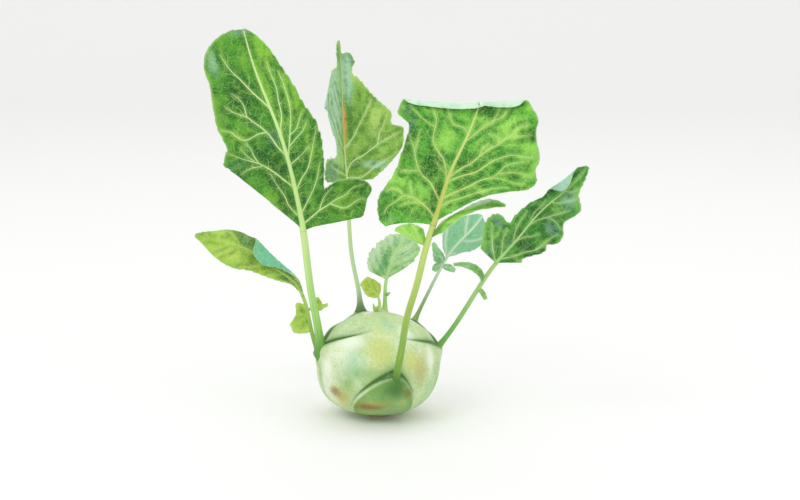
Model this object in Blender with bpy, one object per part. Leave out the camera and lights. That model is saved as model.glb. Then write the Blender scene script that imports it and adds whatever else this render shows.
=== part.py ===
"""A kohlrabi as picked: a swollen stem with its stalked leaves, standing upright on its trimmed root.

The front is -Y, +X is to the right and +Z is up. Lengths below are millimetres and angles are degrees;
MM turns them into metres. The origin is the middle of the flat cut under the root.
"""

from dataclasses import dataclass

import bpy
import numpy as np

MM = 0.001

# The swollen stem is a globe that is fuller below, on a short trimmed root.
BULB_RADIUS = 48.0
BULB_RISE = 39.5
BULB_DROP = 39.0
BULB_CENTRE = np.array([0.0, 0.0, 42.0])
BULB_POWER_ABOVE = 2.05
BULB_POWER_BELOW = 2.6
BULB_LUMP = 0.7
LUMP_TURNS = 3.0
LUMP_TWIST = 4.0
LUMP_PHASE = 0.6
BULB_SEGMENTS = 64
BULB_RINGS = 34
ROOT_RADIUS = 10.0
ROOT_BEVEL = 0.8
ROOT_WOBBLE = 0.03
NECK_SPREAD = 1.5
NECK_DROP = 1.0
RIDGE_STEP = 5.0
RIDGE_CROWN = 0.6
RIDGE_FADE = 14.0
RIDGE_END = 1.2
RIDGE_TAPER = 2.0
RIDGE_NEAR = 12.0

# Leaves.
GAP = 0.4
BLADE_THICKNESS = 0.9
STALK_SIDES = 8
STALK_SPACING = 9.0
SUNKEN_STATIONS = (-2.0, -1.4, -0.8, 0.0)
SINK = 0.35
FOOT_END = 2.2
RIB_ABOVE = 0.45
RIB_TAPER = 0.75
TIP_HALF_WIDTH = 1.5
PATH_SAMPLES = 400
FAN_STEP = 1.2
VEIN_SLOPE = 0.35
WAVE_WIDTH = 35.0
ROW_POWER = 1.08
BEND_ROWS = 3.0
RIB_COLUMNS = (0.6, 1.2)
RIB_SHARES = (0.15, 0.3)

# Looks.
CREASE_ANGLE = 40.0
BULB_COLOUR = (0.58, 0.70, 0.38)
SKIN_ROUGHNESS = 0.5
BLADE_ROUGHNESS = 0.55


@dataclass(frozen=True)
class Roll:
    """A line across the flat blade from start to end; what is on its left rolls over towards the face.

    The roll is full from fade past the start.
    """

    start: tuple
    end: tuple
    radius: float
    angle: float
    fade: float = 0.0


@dataclass(frozen=True)
class Ridge:
    """The leaf's base on the bulb: a step that runs out to both sides from rise above the foot.

    It falls by drop, or climbs where drop is negative, at its reach to either side, by a power of the way there.
    """

    height: float = 1.2
    reach: tuple = (16.0, 16.0)
    drop: float = 6.0
    power: float = 1.5
    rise: float = 3.0


@dataclass(frozen=True)
class Leaf:
    """A leaf or a leaflet: its stalk and rib run along a path, and its outlines are (out, along) from the rib.

    The path of a leaf is in the object's frame. That of a leaflet starts on its leaf's stalk, attach along it.
    """

    name: str
    path: tuple
    stalk: float
    facing: tuple
    left: tuple
    right: tuple
    bend: tuple = (1.0, 1.0)
    fold: tuple = (0.0, 0.0)
    curl: tuple = (0.0, 0.0)
    wave: tuple = (0.0, 30.0)
    radius: tuple = (2.6, 2.2)
    foot: float = 4.5
    ridge: Ridge = Ridge()
    rolls: tuple = ()
    leaflets: tuple = ()
    attach: float = 0.0
    steps: int = 2
    columns: int = 3
    blade_colour: tuple = (0.06, 0.27, 0.05)
    stalk_colour: tuple = (0.30, 0.60, 0.15)


LEFT_TALL = Leaf(
    name="left_tall",
    path=((-44, -15, 54), (-47, -22, 79), (-51, -30, 105), (-56, -41, 154), (-60, -46, 178),
          (-73, -54, 232), (-91, -51, 279), (-99, -44, 306)),
    stalk=104.0,
    facing=(0.2, -0.95, 0.2),
    left=((12, 20), (20, 29), (26, 41), (32, 47), (39, 57), (47, 71), (42, 83), (42, 100), (40, 115),
          (36, 128), (36, 140), (32, 149), (22, 157), (11, 161)),
    right=((15, 4), (31, 5), (46, 1), (53, 9), (61, 16), (51, 27), (35, 32), (22, 28), (27, 52), (29, 75),
           (25, 91), (21, 118), (15, 141), (8, 154)),
    fold=(8.0, 6.0),
    curl=(-3.0, -4.0),
    wave=(2.0, 34.0),
    radius=(3.1, 2.6),
    foot=6.5,
    ridge=Ridge(height=2.2, reach=(30.0, 44.0), drop=-17.0, power=0.5, rise=1.0),
    blade_colour=(0.06, 0.30, 0.05),
    stalk_colour=(0.30, 0.61, 0.15),
)

BACK_TALL = Leaf(
    name="back_tall",
    path=((-14, 20, 78), (-16, 32, 94), (-21, 44, 116), (-24, 54, 148), (-26, 62, 176), (-29, 74, 222),
          (-31, 84, 267), (-33, 88, 289)),
    stalk=110.0,
    facing=(0.45, -0.85, 0.2),
    left=((20, -2), (37, -3), (37, 13), (19, 18), (17, 30), (24, 39), (29, 54), (34, 59), (26, 74),
          (20, 88), (10, 93), (8, 105), (5, 113)),
    right=((22, 1), (38, 13), (48, 25), (55, 44), (42, 48), (41, 57), (32, 66), (22, 75), (15, 83), (9, 89),
           (12, 98), (7, 105), (2, 104)),
    fold=(42.0, 12.0),
    curl=(-2.0, -3.0),
    wave=(1.5, 26.0),
    radius=(1.8, 1.5),
    foot=5.5,
    ridge=Ridge(height=1.2, reach=(14.0, 14.0), drop=5.0),
    blade_colour=(0.30, 0.55, 0.14),
    stalk_colour=(0.45, 0.70, 0.38),
)

FRONT_LOBE = Leaf(
    name="front_lobe",
    path=((0, 0, 0), (10, -1, 11), (19, -1, 18), (32, 0, 22), (44, 1, 25), (56, 2, 24)),
    stalk=0.0,
    attach=133.0,
    facing=(-0.1, -0.9, 0.35),
    left=((2, 15.5), (1, 28.5), (4.5, 42), (4.5, 54.5)),
    right=((8.5, 12), (7.5, 26.5), (3.5, 40), (4.5, 54)),
    fold=(35.0, 35.0),
    radius=(0.9, 0.7),
    steps=1,
    columns=2,
)

FRONT_LOBE_LOW = Leaf(
    name="front_lobe_low",
    path=((0, 0, 0), (-11, -2, 8), (-23, -3, 13)),
    stalk=0.0,
    attach=127.0,
    facing=(0.0, -0.9, 0.3),
    left=((2.5, 7.5), (2.5, 15.5), (1.5, 23.5)),
    right=((9.5, 10), (8.5, 18), (4, 24.5)),
    fold=(10.0, 20.0),
    radius=(0.8, 0.6),
    steps=1,
    columns=2,
)

FRONT_TALL = Leaf(
    name="front_tall",
    path=((13, -43, 35), (16, -56, 53), (19, -64, 71), (22, -72, 92), (29, -80, 118), (36, -87, 148),
          (45, -92, 178), (53, -95, 204), (64, -94, 228), (74, -91, 253), (77, -90, 263)),
    stalk=144.0,
    facing=(-0.05, -0.98, 0.15),
    left=((33, -12), (39, -9), (43, -1), (44, 11), (39, 26), (38, 40), (42, 60), (53, 65), (53, 79),
          (50, 86), (36, 92), (18, 99)),
    right=((50, 50), (58, 58), (59, 64), (55, 69), (55, 75), (49, 83), (45, 90), (44, 97), (37, 103.5),
           (32, 108), (24, 113), (13, 110)),
    bend=(1.8, 0.67),
    fold=(6.0, 8.0),
    curl=(-3.0, -3.0),
    wave=(1.8, 32.0),
    radius=(2.7, 2.3),
    foot=6.0,
    ridge=Ridge(height=2.6, reach=(38.0, 19.0), drop=26.0, power=1.8, rise=9.0),
    rolls=(Roll(start=(-51, 76.5), end=(41, 109), radius=2.4, angle=175.0),),
    leaflets=(FRONT_LOBE, FRONT_LOBE_LOW),
    blade_colour=(0.08, 0.38, 0.05),
    stalk_colour=(0.28, 0.42, 0.08),
)

RIGHT_CURL = Leaf(
    name="right_curl",
    path=((0, 0, 0), (0, -3, 8), (-4, -5, 14), (-12, -6, 17.5), (-21, -6, 17)),
    stalk=0.0,
    attach=66.0,
    facing=(0.0, -0.9, 0.3),
    left=((4, 9), (5, 18), (4, 26)),
    right=((3, 9), (3, 18), (2, 26)),
    fold=(40.0, 30.0),
    radius=(0.8, 0.6),
    steps=1,
    columns=2,
)

RIGHT_TAIL = Leaf(
    name="right_tail",
    path=((0, 0, 0), (3, -3, -3), (5.5, -4, -8)),
    stalk=0.0,
    attach=63.0,
    facing=(0.0, -0.9, 0.3),
    left=((2, 3), (2, 5), (2, 7)),
    right=((2, 3), (2, 5), (2, 7)),
    radius=(0.8, 0.6),
    steps=1,
    columns=2,
)

RIGHT = Leaf(
    name="right",
    path=((45, -5, 53), (57, -10, 70), (68, -14, 88), (78, -18, 105.5), (92, -23, 127), (107, -27, 145),
          (119, -30, 161), (133, -31, 175), (149, -30, 188), (160, -27, 201)),
    stalk=88.0,
    facing=(-0.3, -0.9, 0.3),
    left=((17, 2), (22, 11), (28, 21), (25, 33), (14, 32), (13, 41), (11, 53), (8, 65), (19, 78), (12, 92)),
    right=((16, 16), (15, 20), (24, 33), (22, 38), (28, 46), (27, 54), (20, 62), (21, 77), (9, 84),
           (5, 95)),
    fold=(28.0, 12.0),
    curl=(-2.0, -5.0),
    wave=(1.2, 24.0),
    radius=(2.0, 1.7),
    foot=4.5,
    ridge=Ridge(height=2.0, reach=(40.0, 30.0), drop=-12.5, power=0.6, rise=1.0),
    rolls=(Roll(start=(-9, 56), end=(-5, 102), radius=2.2, angle=165.0, fade=10.0),),
    leaflets=(RIGHT_CURL, RIGHT_TAIL),
    blade_colour=(0.05, 0.26, 0.06),
    stalk_colour=(0.17, 0.45, 0.10),
)

BACK_RIGHT_LEFTWARD = Leaf(
    name="back_right_leftward",
    path=((0, 0, 0), (-4, -1, -1), (-7, -2, -5)),
    stalk=0.0,
    attach=59.0,
    facing=(0.0, -0.8, 0.5),
    left=((3, 3), (3, 6), (2, 9)),
    right=((3, 3), (3, 6), (2, 9)),
    radius=(0.8, 0.6),
    steps=1,
    columns=2,
)

BACK_RIGHT_RIGHTWARD = Leaf(
    name="back_right_rightward",
    path=((0, 0, 0), (5, -2, 0), (11, -3, -3)),
    stalk=0.0,
    attach=57.0,
    facing=(0.0, -0.8, 0.5),
    left=((3, 4), (3, 8), (2, 11)),
    right=((3, 4), (3, 8), (2, 11)),
    radius=(0.8, 0.6),
    steps=1,
    columns=2,
)

BACK_RIGHT_DROOP = Leaf(
    name="back_right_droop",
    path=((0, 0, 0), (-3, -5, 7), (-6, -8, 13), (-9, -9, 18)),
    stalk=0.0,
    attach=61.0,
    facing=(0.0, -0.8, 0.5),
    left=((4, 3), (7, 9), (5, 15)),
    right=((3, 5), (3, 10), (2, 15)),
    radius=(0.8, 0.6),
    steps=1,
    columns=2,
)

BACK_RIGHT = Leaf(
    name="back_right",
    path=((28, 20, 70), (34, 31, 80), (40, 42, 90), (47, 51, 102), (57, 60, 118), (69, 70, 130),
          (80, 78, 140), (85, 83, 146)),
    stalk=66.0,
    facing=(-0.2, 0.9, 0.4),
    left=((9, 10), (16, 21), (25, 32), (25, 40), (24, 47), (12, 50)),
    right=((8, 4), (16, 12), (18, 19), (16, 29), (11, 39), (5, 47)),
    fold=(12.0, 14.0),
    curl=(3.0, 3.0),
    wave=(1.0, 22.0),
    radius=(1.5, 1.2),
    foot=4.0,
    ridge=Ridge(height=1.6, reach=(20.0, 20.0), drop=6.0),
    leaflets=(BACK_RIGHT_LEFTWARD, BACK_RIGHT_RIGHTWARD, BACK_RIGHT_DROOP),
    blade_colour=(0.30, 0.60, 0.42),
    stalk_colour=(0.22, 0.42, 0.10),
)

BACK_SMALL = Leaf(
    name="back_small",
    path=((5, 27, 76), (5.2, 35, 88), (5.8, 41, 98.5), (8.5, 45, 108), (12.5, 49, 118), (18.5, 54, 129),
          (20.5, 57, 134.5)),
    stalk=29.0,
    facing=(-0.1, -0.9, 0.3),
    left=((15, 2.5), (18.5, 7.5), (19.5, 16.5), (17, 19.5), (17, 23.5), (14.5, 27.5), (11.5, 35),
          (5.5, 38.5)),
    right=((8.5, 8.5), (13.5, 15.5), (17, 23), (17, 26), (17.5, 31.5), (15, 34), (10.5, 36.5), (6.5, 38)),
    fold=(10.0, 10.0),
    wave=(3.2, 13.0),
    radius=(1.8, 1.3),
    foot=3.6,
    ridge=Ridge(height=0.9, reach=(9.0, 9.0), drop=4.0),
    columns=2,
    blade_colour=(0.33, 0.60, 0.30),
    stalk_colour=(0.36, 0.62, 0.20),
)

LEFT_LOW_LOBE = Leaf(
    name="left_low_lobe",
    path=((0, 0, 0), (-6, -2, -4), (-14, -4, -8)),
    stalk=0.0,
    attach=33.0,
    facing=(0.0, -0.9, 0.3),
    left=((12, 6), (10.5, 10), (6, 16.5)),
    right=((9, -3), (13.5, 2), (6.5, 8)),
    radius=(0.8, 0.6),
    steps=1,
    columns=2,
)

LEFT_LOW_LOBE_INNER = Leaf(
    name="left_low_lobe_inner",
    path=((0, 0, 0), (8, 5, 3), (16, 8, 3)),
    stalk=0.0,
    attach=37.0,
    facing=(0.0, -0.9, 0.3),
    left=((2, 6), (6.5, 11.5), (0.5, 14.5)),
    right=((3, 5), (5, 11), (3, 15)),
    radius=(0.8, 0.6),
    steps=1,
    columns=2,
)

LEFT_LOW = Leaf(
    name="left_low",
    path=((-47, 8, 48), (-51, 15, 56), (-56, 24, 75), (-60, 30, 88), (-66, 34, 98), (-87, 38, 113),
          (-102, 42, 123), (-116, 45, 129), (-131, 48, 132), (-148, 51, 135)),
    stalk=49.0,
    facing=(0.1, -0.9, 0.4),
    left=((3, 14), (7, 24), (10, 37), (14, 50), (18, 60), (18, 74), (14, 85), (8, 94), (4, 100)),
    right=((10, 19), (16, 30), (23, 38), (23, 50), (12, 59), (11, 70), (10, 79), (7, 89), (4, 99)),
    fold=(-8.0, 18.0),
    curl=(-3.0, 0.0),
    wave=(0.8, 24.0),
    radius=(1.7, 1.4),
    foot=4.0,
    ridge=Ridge(height=2.0, reach=(24.0, 24.0), drop=9.0),
    rolls=(Roll(start=(9.3, 60), end=(0.8, 8), radius=2.6, angle=165.0),),
    leaflets=(LEFT_LOW_LOBE, LEFT_LOW_LOBE_INNER),
    blade_colour=(0.28, 0.48, 0.06),
    stalk_colour=(0.40, 0.60, 0.24),
)

YOUNG = Leaf(
    name="young",
    path=((1, 13, 81), (1, 15, 87), (-1, 17, 93), (-7, 18, 98), (-14, 18, 102)),
    stalk=11.0,
    facing=(0.1, -0.95, 0.2),
    left=((3.5, 0), (6.5, 7), (5, 12.5), (2.5, 16)),
    right=((5, 3), (8, 5.5), (8, 11.5), (7, 16)),
    fold=(15.0, 15.0),
    wave=(0.8, 9.0),
    radius=(1.1, 0.9),
    foot=2.6,
    ridge=Ridge(height=0.5, reach=(6.0, 6.0), drop=3.0),
    columns=2,
    blade_colour=(0.42, 0.56, 0.10),
    stalk_colour=(0.36, 0.55, 0.15),
)

LEAVES = (LEFT_TALL, BACK_TALL, FRONT_TALL, RIGHT, BACK_RIGHT, BACK_SMALL, LEFT_LOW, YOUNG)


def unit(vectors):
    """Vectors scaled to a length of one."""
    return vectors / np.maximum(np.linalg.norm(vectors, axis=-1, keepdims=True), 1e-9)


def smooth(share):
    """A share eased from 0 to 1."""
    share = np.clip(share, 0.0, 1.0)
    return share * share * (3.0 - 2.0 * share)


class Path:
    """A smooth curve, a natural cubic spline, through given points and measured by its own length."""

    def __init__(self, points):
        knots = np.asarray(points, dtype=float)
        chords = np.linalg.norm(np.diff(knots, axis=0), axis=1)
        at = np.concatenate(([0.0], np.cumsum(chords)))
        count = len(knots)
        matrix = np.eye(count)
        right_side = np.zeros((count, 3))
        for i in range(1, count - 1):
            before, after = chords[i - 1], chords[i]
            matrix[i, i - 1:i + 2] = before, 2.0 * (before + after), after
            slopes = (knots[i + 1] - knots[i]) / after - (knots[i] - knots[i - 1]) / before
            right_side[i] = 6.0 * slopes
        bends = np.linalg.solve(matrix, right_side)
        t = np.linspace(0.0, at[-1], PATH_SAMPLES)
        span = np.clip(np.searchsorted(at, t, side="right") - 1, 0, count - 2)
        h = chords[span][:, None]
        a = (at[span + 1] - t)[:, None] / h
        b = 1.0 - a
        self.points = (a * knots[span] + b * knots[span + 1]
                       + ((a ** 3 - a) * bends[span] + (b ** 3 - b) * bends[span + 1]) * h ** 2 / 6.0)
        steps = np.linalg.norm(np.diff(self.points, axis=0), axis=1)
        self.lengths = np.concatenate(([0.0], np.cumsum(steps)))
        self.tangents = unit(np.gradient(self.points, self.lengths, axis=0))
        self.length = self.lengths[-1]

    def read(self, table, s):
        """Values of a table along the curve, at lengths s."""
        return np.stack([np.interp(s, self.lengths, table[:, i]) for i in range(3)], axis=-1)

    def at(self, s):
        """Points at lengths s; past either end the curve runs on straight."""
        s = np.asarray(s, dtype=float)
        spare = s - np.clip(s, 0.0, self.length)
        return self.read(self.points, s) + spare[..., None] * self.tangent(s)

    def tangent(self, s):
        """Directions of the curve at lengths s."""
        return unit(self.read(self.tangents, s))


def arc(start, rate, length):
    """How far a strip of a given length reaches across and up when it starts at an angle and curls at a rate."""
    rate = np.where(np.abs(rate) < 1e-6, 1e-6, rate)
    end = start + rate * length
    return (np.sin(end) - np.sin(start)) / rate, (np.cos(start) - np.cos(end)) / rate


class LeafSurface:
    """Places flat leaf coordinates, out and along, on the folded, curled and waved leaf."""

    def __init__(self, leaf, origin=(0.0, 0.0, 0.0)):
        self.leaf = leaf
        self.path = Path(np.array(leaf.path, dtype=float) + origin)
        self.blade_length = self.path.length - leaf.stalk
        rise = unit(self.path.at(self.path.length) - self.path.at(leaf.stalk))
        self.across = unit(np.cross(rise, np.array(leaf.facing)))

    def frame(self, s):
        """Along, across and facing directions at lengths s."""
        along = self.path.tangent(s)
        across = unit(self.across - np.sum(self.across * along, axis=-1, keepdims=True) * along)
        return along, across, np.cross(across, along)

    def sheet(self, along, out):
        """Points of the blade before any roll, with its across direction and its normal there."""
        leaf = self.leaf
        s = leaf.stalk + along
        forward, across, facing = self.frame(s)
        side = np.sign(out)
        start = np.radians(np.where(out < 0, leaf.fold[0], leaf.fold[1]))
        rate = np.radians(np.where(out < 0, leaf.curl[0], leaf.curl[1])) / 10.0
        width = np.abs(out)
        reach, rise = arc(start, rate, width)
        height, length = leaf.wave
        rise = rise + height * (width / WAVE_WIDTH) ** 2 * np.sin(2.0 * np.pi * along / length + side)
        slope = start + rate * width
        point = self.path.at(s) + across * (side * reach)[..., None] + facing * rise[..., None]
        spread = across * np.cos(slope)[..., None] + facing * (side * np.sin(slope))[..., None]
        normal = facing * np.cos(slope)[..., None] - across * (side * np.sin(slope))[..., None]
        return point, forward, spread, normal

    def place(self, along, out):
        """Points of the blade, rolled over past each roll line: a bend of one radius and then a straight flap."""
        point = self.sheet(along, out)[0]
        for roll in self.leaf.rolls:
            line = unit(np.array(roll.end, dtype=float) - np.array(roll.start, dtype=float))
            beyond = np.array([-line[1], line[0]])
            past = (out - roll.start[0]) * beyond[0] + (along - roll.start[1]) * beyond[1]
            past = np.maximum(past, 0.0)
            if roll.fade:
                run = (out - roll.start[0]) * line[0] + (along - roll.start[1]) * line[1]
                past = past * smooth(run / roll.fade)
            hinge, hinge_forward, hinge_spread, hinge_normal = self.sheet(
                along - past * beyond[1], out - past * beyond[0])
            limit = np.radians(roll.angle)
            turn = np.minimum(past / roll.radius, limit)
            flap = past - turn * roll.radius
            forth = roll.radius * np.sin(turn) + flap * np.cos(turn)
            lift = roll.radius * (1.0 - np.cos(turn)) + flap * np.sin(turn)
            heading = unit(hinge_spread * beyond[0] + hinge_forward * beyond[1])
            rolled = hinge + heading * forth[..., None] + hinge_normal * lift[..., None]
            point = np.where((past > 0.0)[..., None], rolled, point)
        return point

    def rib_radius(self, along):
        """Half width of the midrib, which tapers from the stalk's to RIB_TAPER less at the tip."""
        return self.leaf.radius[1] * (1.0 - RIB_TAPER * np.clip(along / self.blade_length, 0.0, 1.0))


def clear_scene():
    """Remove what the scene holds."""
    for item in list(bpy.data.objects):
        bpy.data.objects.remove(item, do_unlink=True)


def make_material(name, colour, roughness):
    """A Principled material of one colour."""
    material = bpy.data.materials.new(name)
    material.use_nodes = True
    shader = material.node_tree.nodes["Principled BSDF"]
    shader.inputs["Base Color"].default_value = (*colour, 1.0)
    shader.inputs["Roughness"].default_value = roughness
    shader.inputs["Metallic"].default_value = 0.0
    return material


def make_object(name, vertices, faces, material):
    """A named, smooth-shaded mesh object from points in millimetres."""
    mesh = bpy.data.meshes.new(name)
    mesh.from_pydata((np.asarray(vertices) * MM).tolist(), [], faces)
    mesh.update()
    mesh.shade_smooth()
    mesh.set_sharp_from_angle(angle=np.radians(CREASE_ANGLE))
    mesh.materials.append(material)
    item = bpy.data.objects.new(name, mesh)
    bpy.context.scene.collection.objects.link(item)
    return item


def globe(directions):
    """Distance from the bulb's centre to its plain surface along unit directions.

    The surface is a superellipsoid with low lumps.
    """
    level = np.linalg.norm(directions[..., :2], axis=-1)
    height = directions[..., 2]
    power = np.where(height > 0.0, BULB_POWER_ABOVE, BULB_POWER_BELOW)
    reach = np.where(height > 0.0, BULB_RISE, BULB_DROP)
    distance = ((level / BULB_RADIUS) ** power + (np.abs(height) / reach) ** power) ** (-1.0 / power)
    turn = np.arctan2(directions[..., 1], directions[..., 0])
    return distance + BULB_LUMP * level ** 2 * np.sin(LUMP_TURNS * turn + LUMP_TWIST * height + LUMP_PHASE)


def on_globe(point):
    """Points moved along the line from the bulb's centre onto its plain surface."""
    direction = unit(point - BULB_CENTRE)
    return BULB_CENTRE + direction * globe(direction)[..., None]


def leaf_base(leaf):
    """Where a stalk meets the bulb: the point, the way out, and the ways down and across the bulb's surface."""
    foot = on_globe(np.array(leaf.path[0], dtype=float))
    outward = unit(foot - BULB_CENTRE)
    across = unit(np.cross(outward, np.array([0.0, 0.0, 1.0])))
    return foot, outward, np.cross(outward, across), across


def ridges(points):
    """Height of the leaf bases on the bulb: a step along an arch under each stalk, which fades below it."""
    total = np.zeros(points.shape[:-1])
    for leaf in LEAVES:
        ridge = leaf.ridge
        foot, outward, down, across = leaf_base(leaf)
        offset = points - foot
        sideways, below = offset @ across, offset @ down
        if outward[2] < RIDGE_CROWN:
            turn = np.arctan2(points[..., 1], points[..., 0]) - np.arctan2(foot[1], foot[0])
            sideways = np.hypot(foot[0], foot[1]) * ((turn + np.pi) % (2.0 * np.pi) - np.pi)
            below = foot[2] - points[..., 2]
        share = np.abs(sideways) / np.where(sideways < 0.0, ridge.reach[0], ridge.reach[1])
        below = below + ridge.rise - ridge.drop * share ** ridge.power
        step = smooth(below / RIDGE_STEP + 0.5)
        fade = np.exp(-np.maximum(below, 0.0) / RIDGE_FADE)
        taper = np.clip(RIDGE_TAPER * (RIDGE_END - share), 0.0, 1.0)
        near = np.clip((points - BULB_CENTRE) @ outward / RIDGE_NEAR, 0.0, 1.0)
        total = np.maximum(total, ridge.height * step * fade * taper * near)
    return total


def bulb_surface(directions, lift=0.0):
    """Points of the bulb with its leaf bases, along unit directions from its centre."""
    plain = BULB_CENTRE + directions * globe(directions)[..., None]
    return plain + directions * (ridges(plain) + lift)[..., None]


def bulb_mesh(lift=0.0):
    """The swollen stem with its leaf bases and its trimmed root, as rings from the crown down to the flat cut."""
    turn = np.linspace(0.0, 2.0 * np.pi, BULB_SEGMENTS, endpoint=False)
    circle = np.stack([np.cos(turn), np.sin(turn)], axis=-1)
    last = np.pi - np.arctan2(ROOT_RADIUS + NECK_SPREAD, BULB_DROP)
    rings = []
    for polar in np.linspace(0.0, last, BULB_RINGS + 1)[1:]:
        directions = np.column_stack([circle * np.sin(polar), np.full(BULB_SEGMENTS, np.cos(polar))])
        rings.append(bulb_surface(directions, lift))
    neck = rings[-1][:, 2].mean() - NECK_DROP
    for radius, height in ((ROOT_RADIUS, neck), (ROOT_RADIUS, ROOT_BEVEL), (ROOT_RADIUS - ROOT_BEVEL, 0.0)):
        wobble = 1.0 + ROOT_WOBBLE * np.sin(LUMP_TURNS * turn + LUMP_PHASE)
        rings.append(np.column_stack([circle * (radius * wobble)[:, None], np.full(BULB_SEGMENTS, height)]))
    crown = bulb_surface(np.array([[0.0, 0.0, 1.0]]), lift)
    vertices = np.vstack([crown, *rings, np.zeros((1, 3))])
    faces = fan(0, 1, BULB_SEGMENTS)
    for ring in range(len(rings) - 1):
        faces += belt(1 + ring * BULB_SEGMENTS, 1 + (ring + 1) * BULB_SEGMENTS, BULB_SEGMENTS)
    faces += fan(len(vertices) - 1, 1 + (len(rings) - 1) * BULB_SEGMENTS, BULB_SEGMENTS, flip=True)
    return vertices, faces


def fan(centre, first, count, flip=False):
    """Triangles from a middle vertex to a ring of vertices."""
    faces = [(centre, first + i, first + (i + 1) % count) for i in range(count)]
    return [face[::-1] for face in faces] if flip else faces


def belt(upper, lower, count):
    """Triangles between two rings of vertices."""
    faces = []
    for i in range(count):
        j = (i + 1) % count
        faces.append((upper + i, lower + i, lower + j))
        faces.append((upper + i, lower + j, upper + j))
    return faces


def build_stalk(leaf, surface, material):
    """A tapering stalk from its spread foot, cut to the bulb's surface, to just short of the blade.

    Below the foot it sinks by SINK and narrows to nothing at FOOT_END, both counted in widths of the foot, so
    that the cut leaves a long tongue on the slope.
    """
    path = surface.path
    outward = leaf_base(leaf)[1]
    side = unit(np.cross(path.tangent(0.0), outward))
    turn = np.linspace(0.0, 2.0 * np.pi, STALK_SIDES, endpoint=False)
    end = leaf.stalk - GAP
    upper = np.linspace(leaf.foot, end, max(3, int(end / STALK_SPACING)))
    rings = []
    for s in np.concatenate((leaf.foot * np.array(SUNKEN_STATIONS), upper)):
        along = path.tangent(s)
        across = unit(side - (side @ along) * along)
        away = np.cross(across, along)
        middle = path.at(s)
        if s < 0.0:
            middle = middle - outward * SINK * s ** 2 / leaf.foot
            thick = leaf.foot * np.sqrt(1.0 - (s / (FOOT_END * leaf.foot)) ** 2)
        else:
            thick = leaf.radius[0] + (leaf.radius[1] - leaf.radius[0]) * s / leaf.stalk
            thick += (leaf.foot - leaf.radius[0]) * np.exp(-s / leaf.foot)
        rings.append(middle + thick * (np.cos(turn)[:, None] * across + np.sin(turn)[:, None] * away))
    vertices = np.vstack([rings[0].mean(axis=0)[None], *rings, path.at(end)[None]])
    faces = fan(0, 1, STALK_SIDES)
    for ring in range(len(rings) - 1):
        faces += belt(1 + ring * STALK_SIDES, 1 + (ring + 1) * STALK_SIDES, STALK_SIDES)
    faces += fan(len(vertices) - 1, 1 + (len(rings) - 1) * STALK_SIDES, STALK_SIDES, flip=True)
    stalk = make_object("stalk_" + leaf.name, vertices, orient(vertices, faces), material)
    combine(stalk, [make_object("cutter", *bulb_mesh(GAP), material)], "DIFFERENCE")
    if leaf.leaflets:
        combine(stalk, [build_blade(leaflet, LeafSurface(leaflet, path.at(leaflet.attach)), material)
                        for leaflet in leaf.leaflets], "UNION")
    return stalk


def orient(vertices, faces):
    """The faces turned round together where they enclose a negative volume, so that they point out."""
    corners = np.asarray(vertices)[np.array(faces)]
    volume = np.sum(corners[:, 0] * np.cross(corners[:, 1], corners[:, 2]))
    return faces if volume > 0.0 else [face[::-1] for face in faces]


def combine(body, parts, operation):
    """Join parts to a body or cut them from it in one Boolean, and remove the parts."""
    collection = bpy.data.collections.new("parts")
    for part in parts:
        collection.objects.link(part)
    boolean = body.modifiers.new("boolean", "BOOLEAN")
    boolean.operation = operation
    boolean.operand_type = "COLLECTION"
    boolean.collection = collection
    boolean.solver = "MANIFOLD"
    bpy.context.view_layer.update()
    shape = bpy.data.meshes.new_from_object(body.evaluated_get(bpy.context.evaluated_depsgraph_get()))
    body.modifiers.clear()
    body.data = shape
    for part in parts:
        bpy.data.objects.remove(part, do_unlink=True)
    bpy.data.collections.remove(collection)


def rounded(corners, steps):
    """Points along a curve through the corners, which runs at each one in line with its two neighbours."""
    slopes = np.gradient(corners, axis=0)
    fine = np.linspace(0.0, len(corners) - 1.0, (len(corners) - 1) * steps + 1)
    span = np.minimum(fine.astype(int), len(corners) - 2)
    t = (fine - span)[:, None]
    ends = corners[span] * (2 * t ** 3 - 3 * t ** 2 + 1) + corners[span + 1] * (3 * t ** 2 - 2 * t ** 3)
    return ends + slopes[span] * (t ** 3 - 2 * t ** 2 + t) + slopes[span + 1] * (t ** 3 - t ** 2)


def blade_rows(leaf, surface):
    """Rows of the flat blade: where each leaves the rib, and where it meets the outline on either side."""
    tip = surface.blade_length
    sides = []
    for outline in (leaf.left, leaf.right):
        sides.append(rounded(np.array(outline + ((TIP_HALF_WIDTH, tip),), dtype=float), leaf.steps))
    roots = np.min([side[:, 1] - VEIN_SLOPE * side[:, 0] for side in sides], axis=0)
    roots[0] = 0.0
    roots[-1] = tip
    for i in range(1, len(roots)):
        roots[i] = max(roots[i], roots[i - 1] + FAN_STEP / leaf.steps)
    for i in range(len(roots) - 2, -1, -1):
        roots[i] = min(roots[i], roots[i + 1] - FAN_STEP / leaf.steps)
    roots = np.maximum(roots, 0.0)
    return roots, sides


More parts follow.
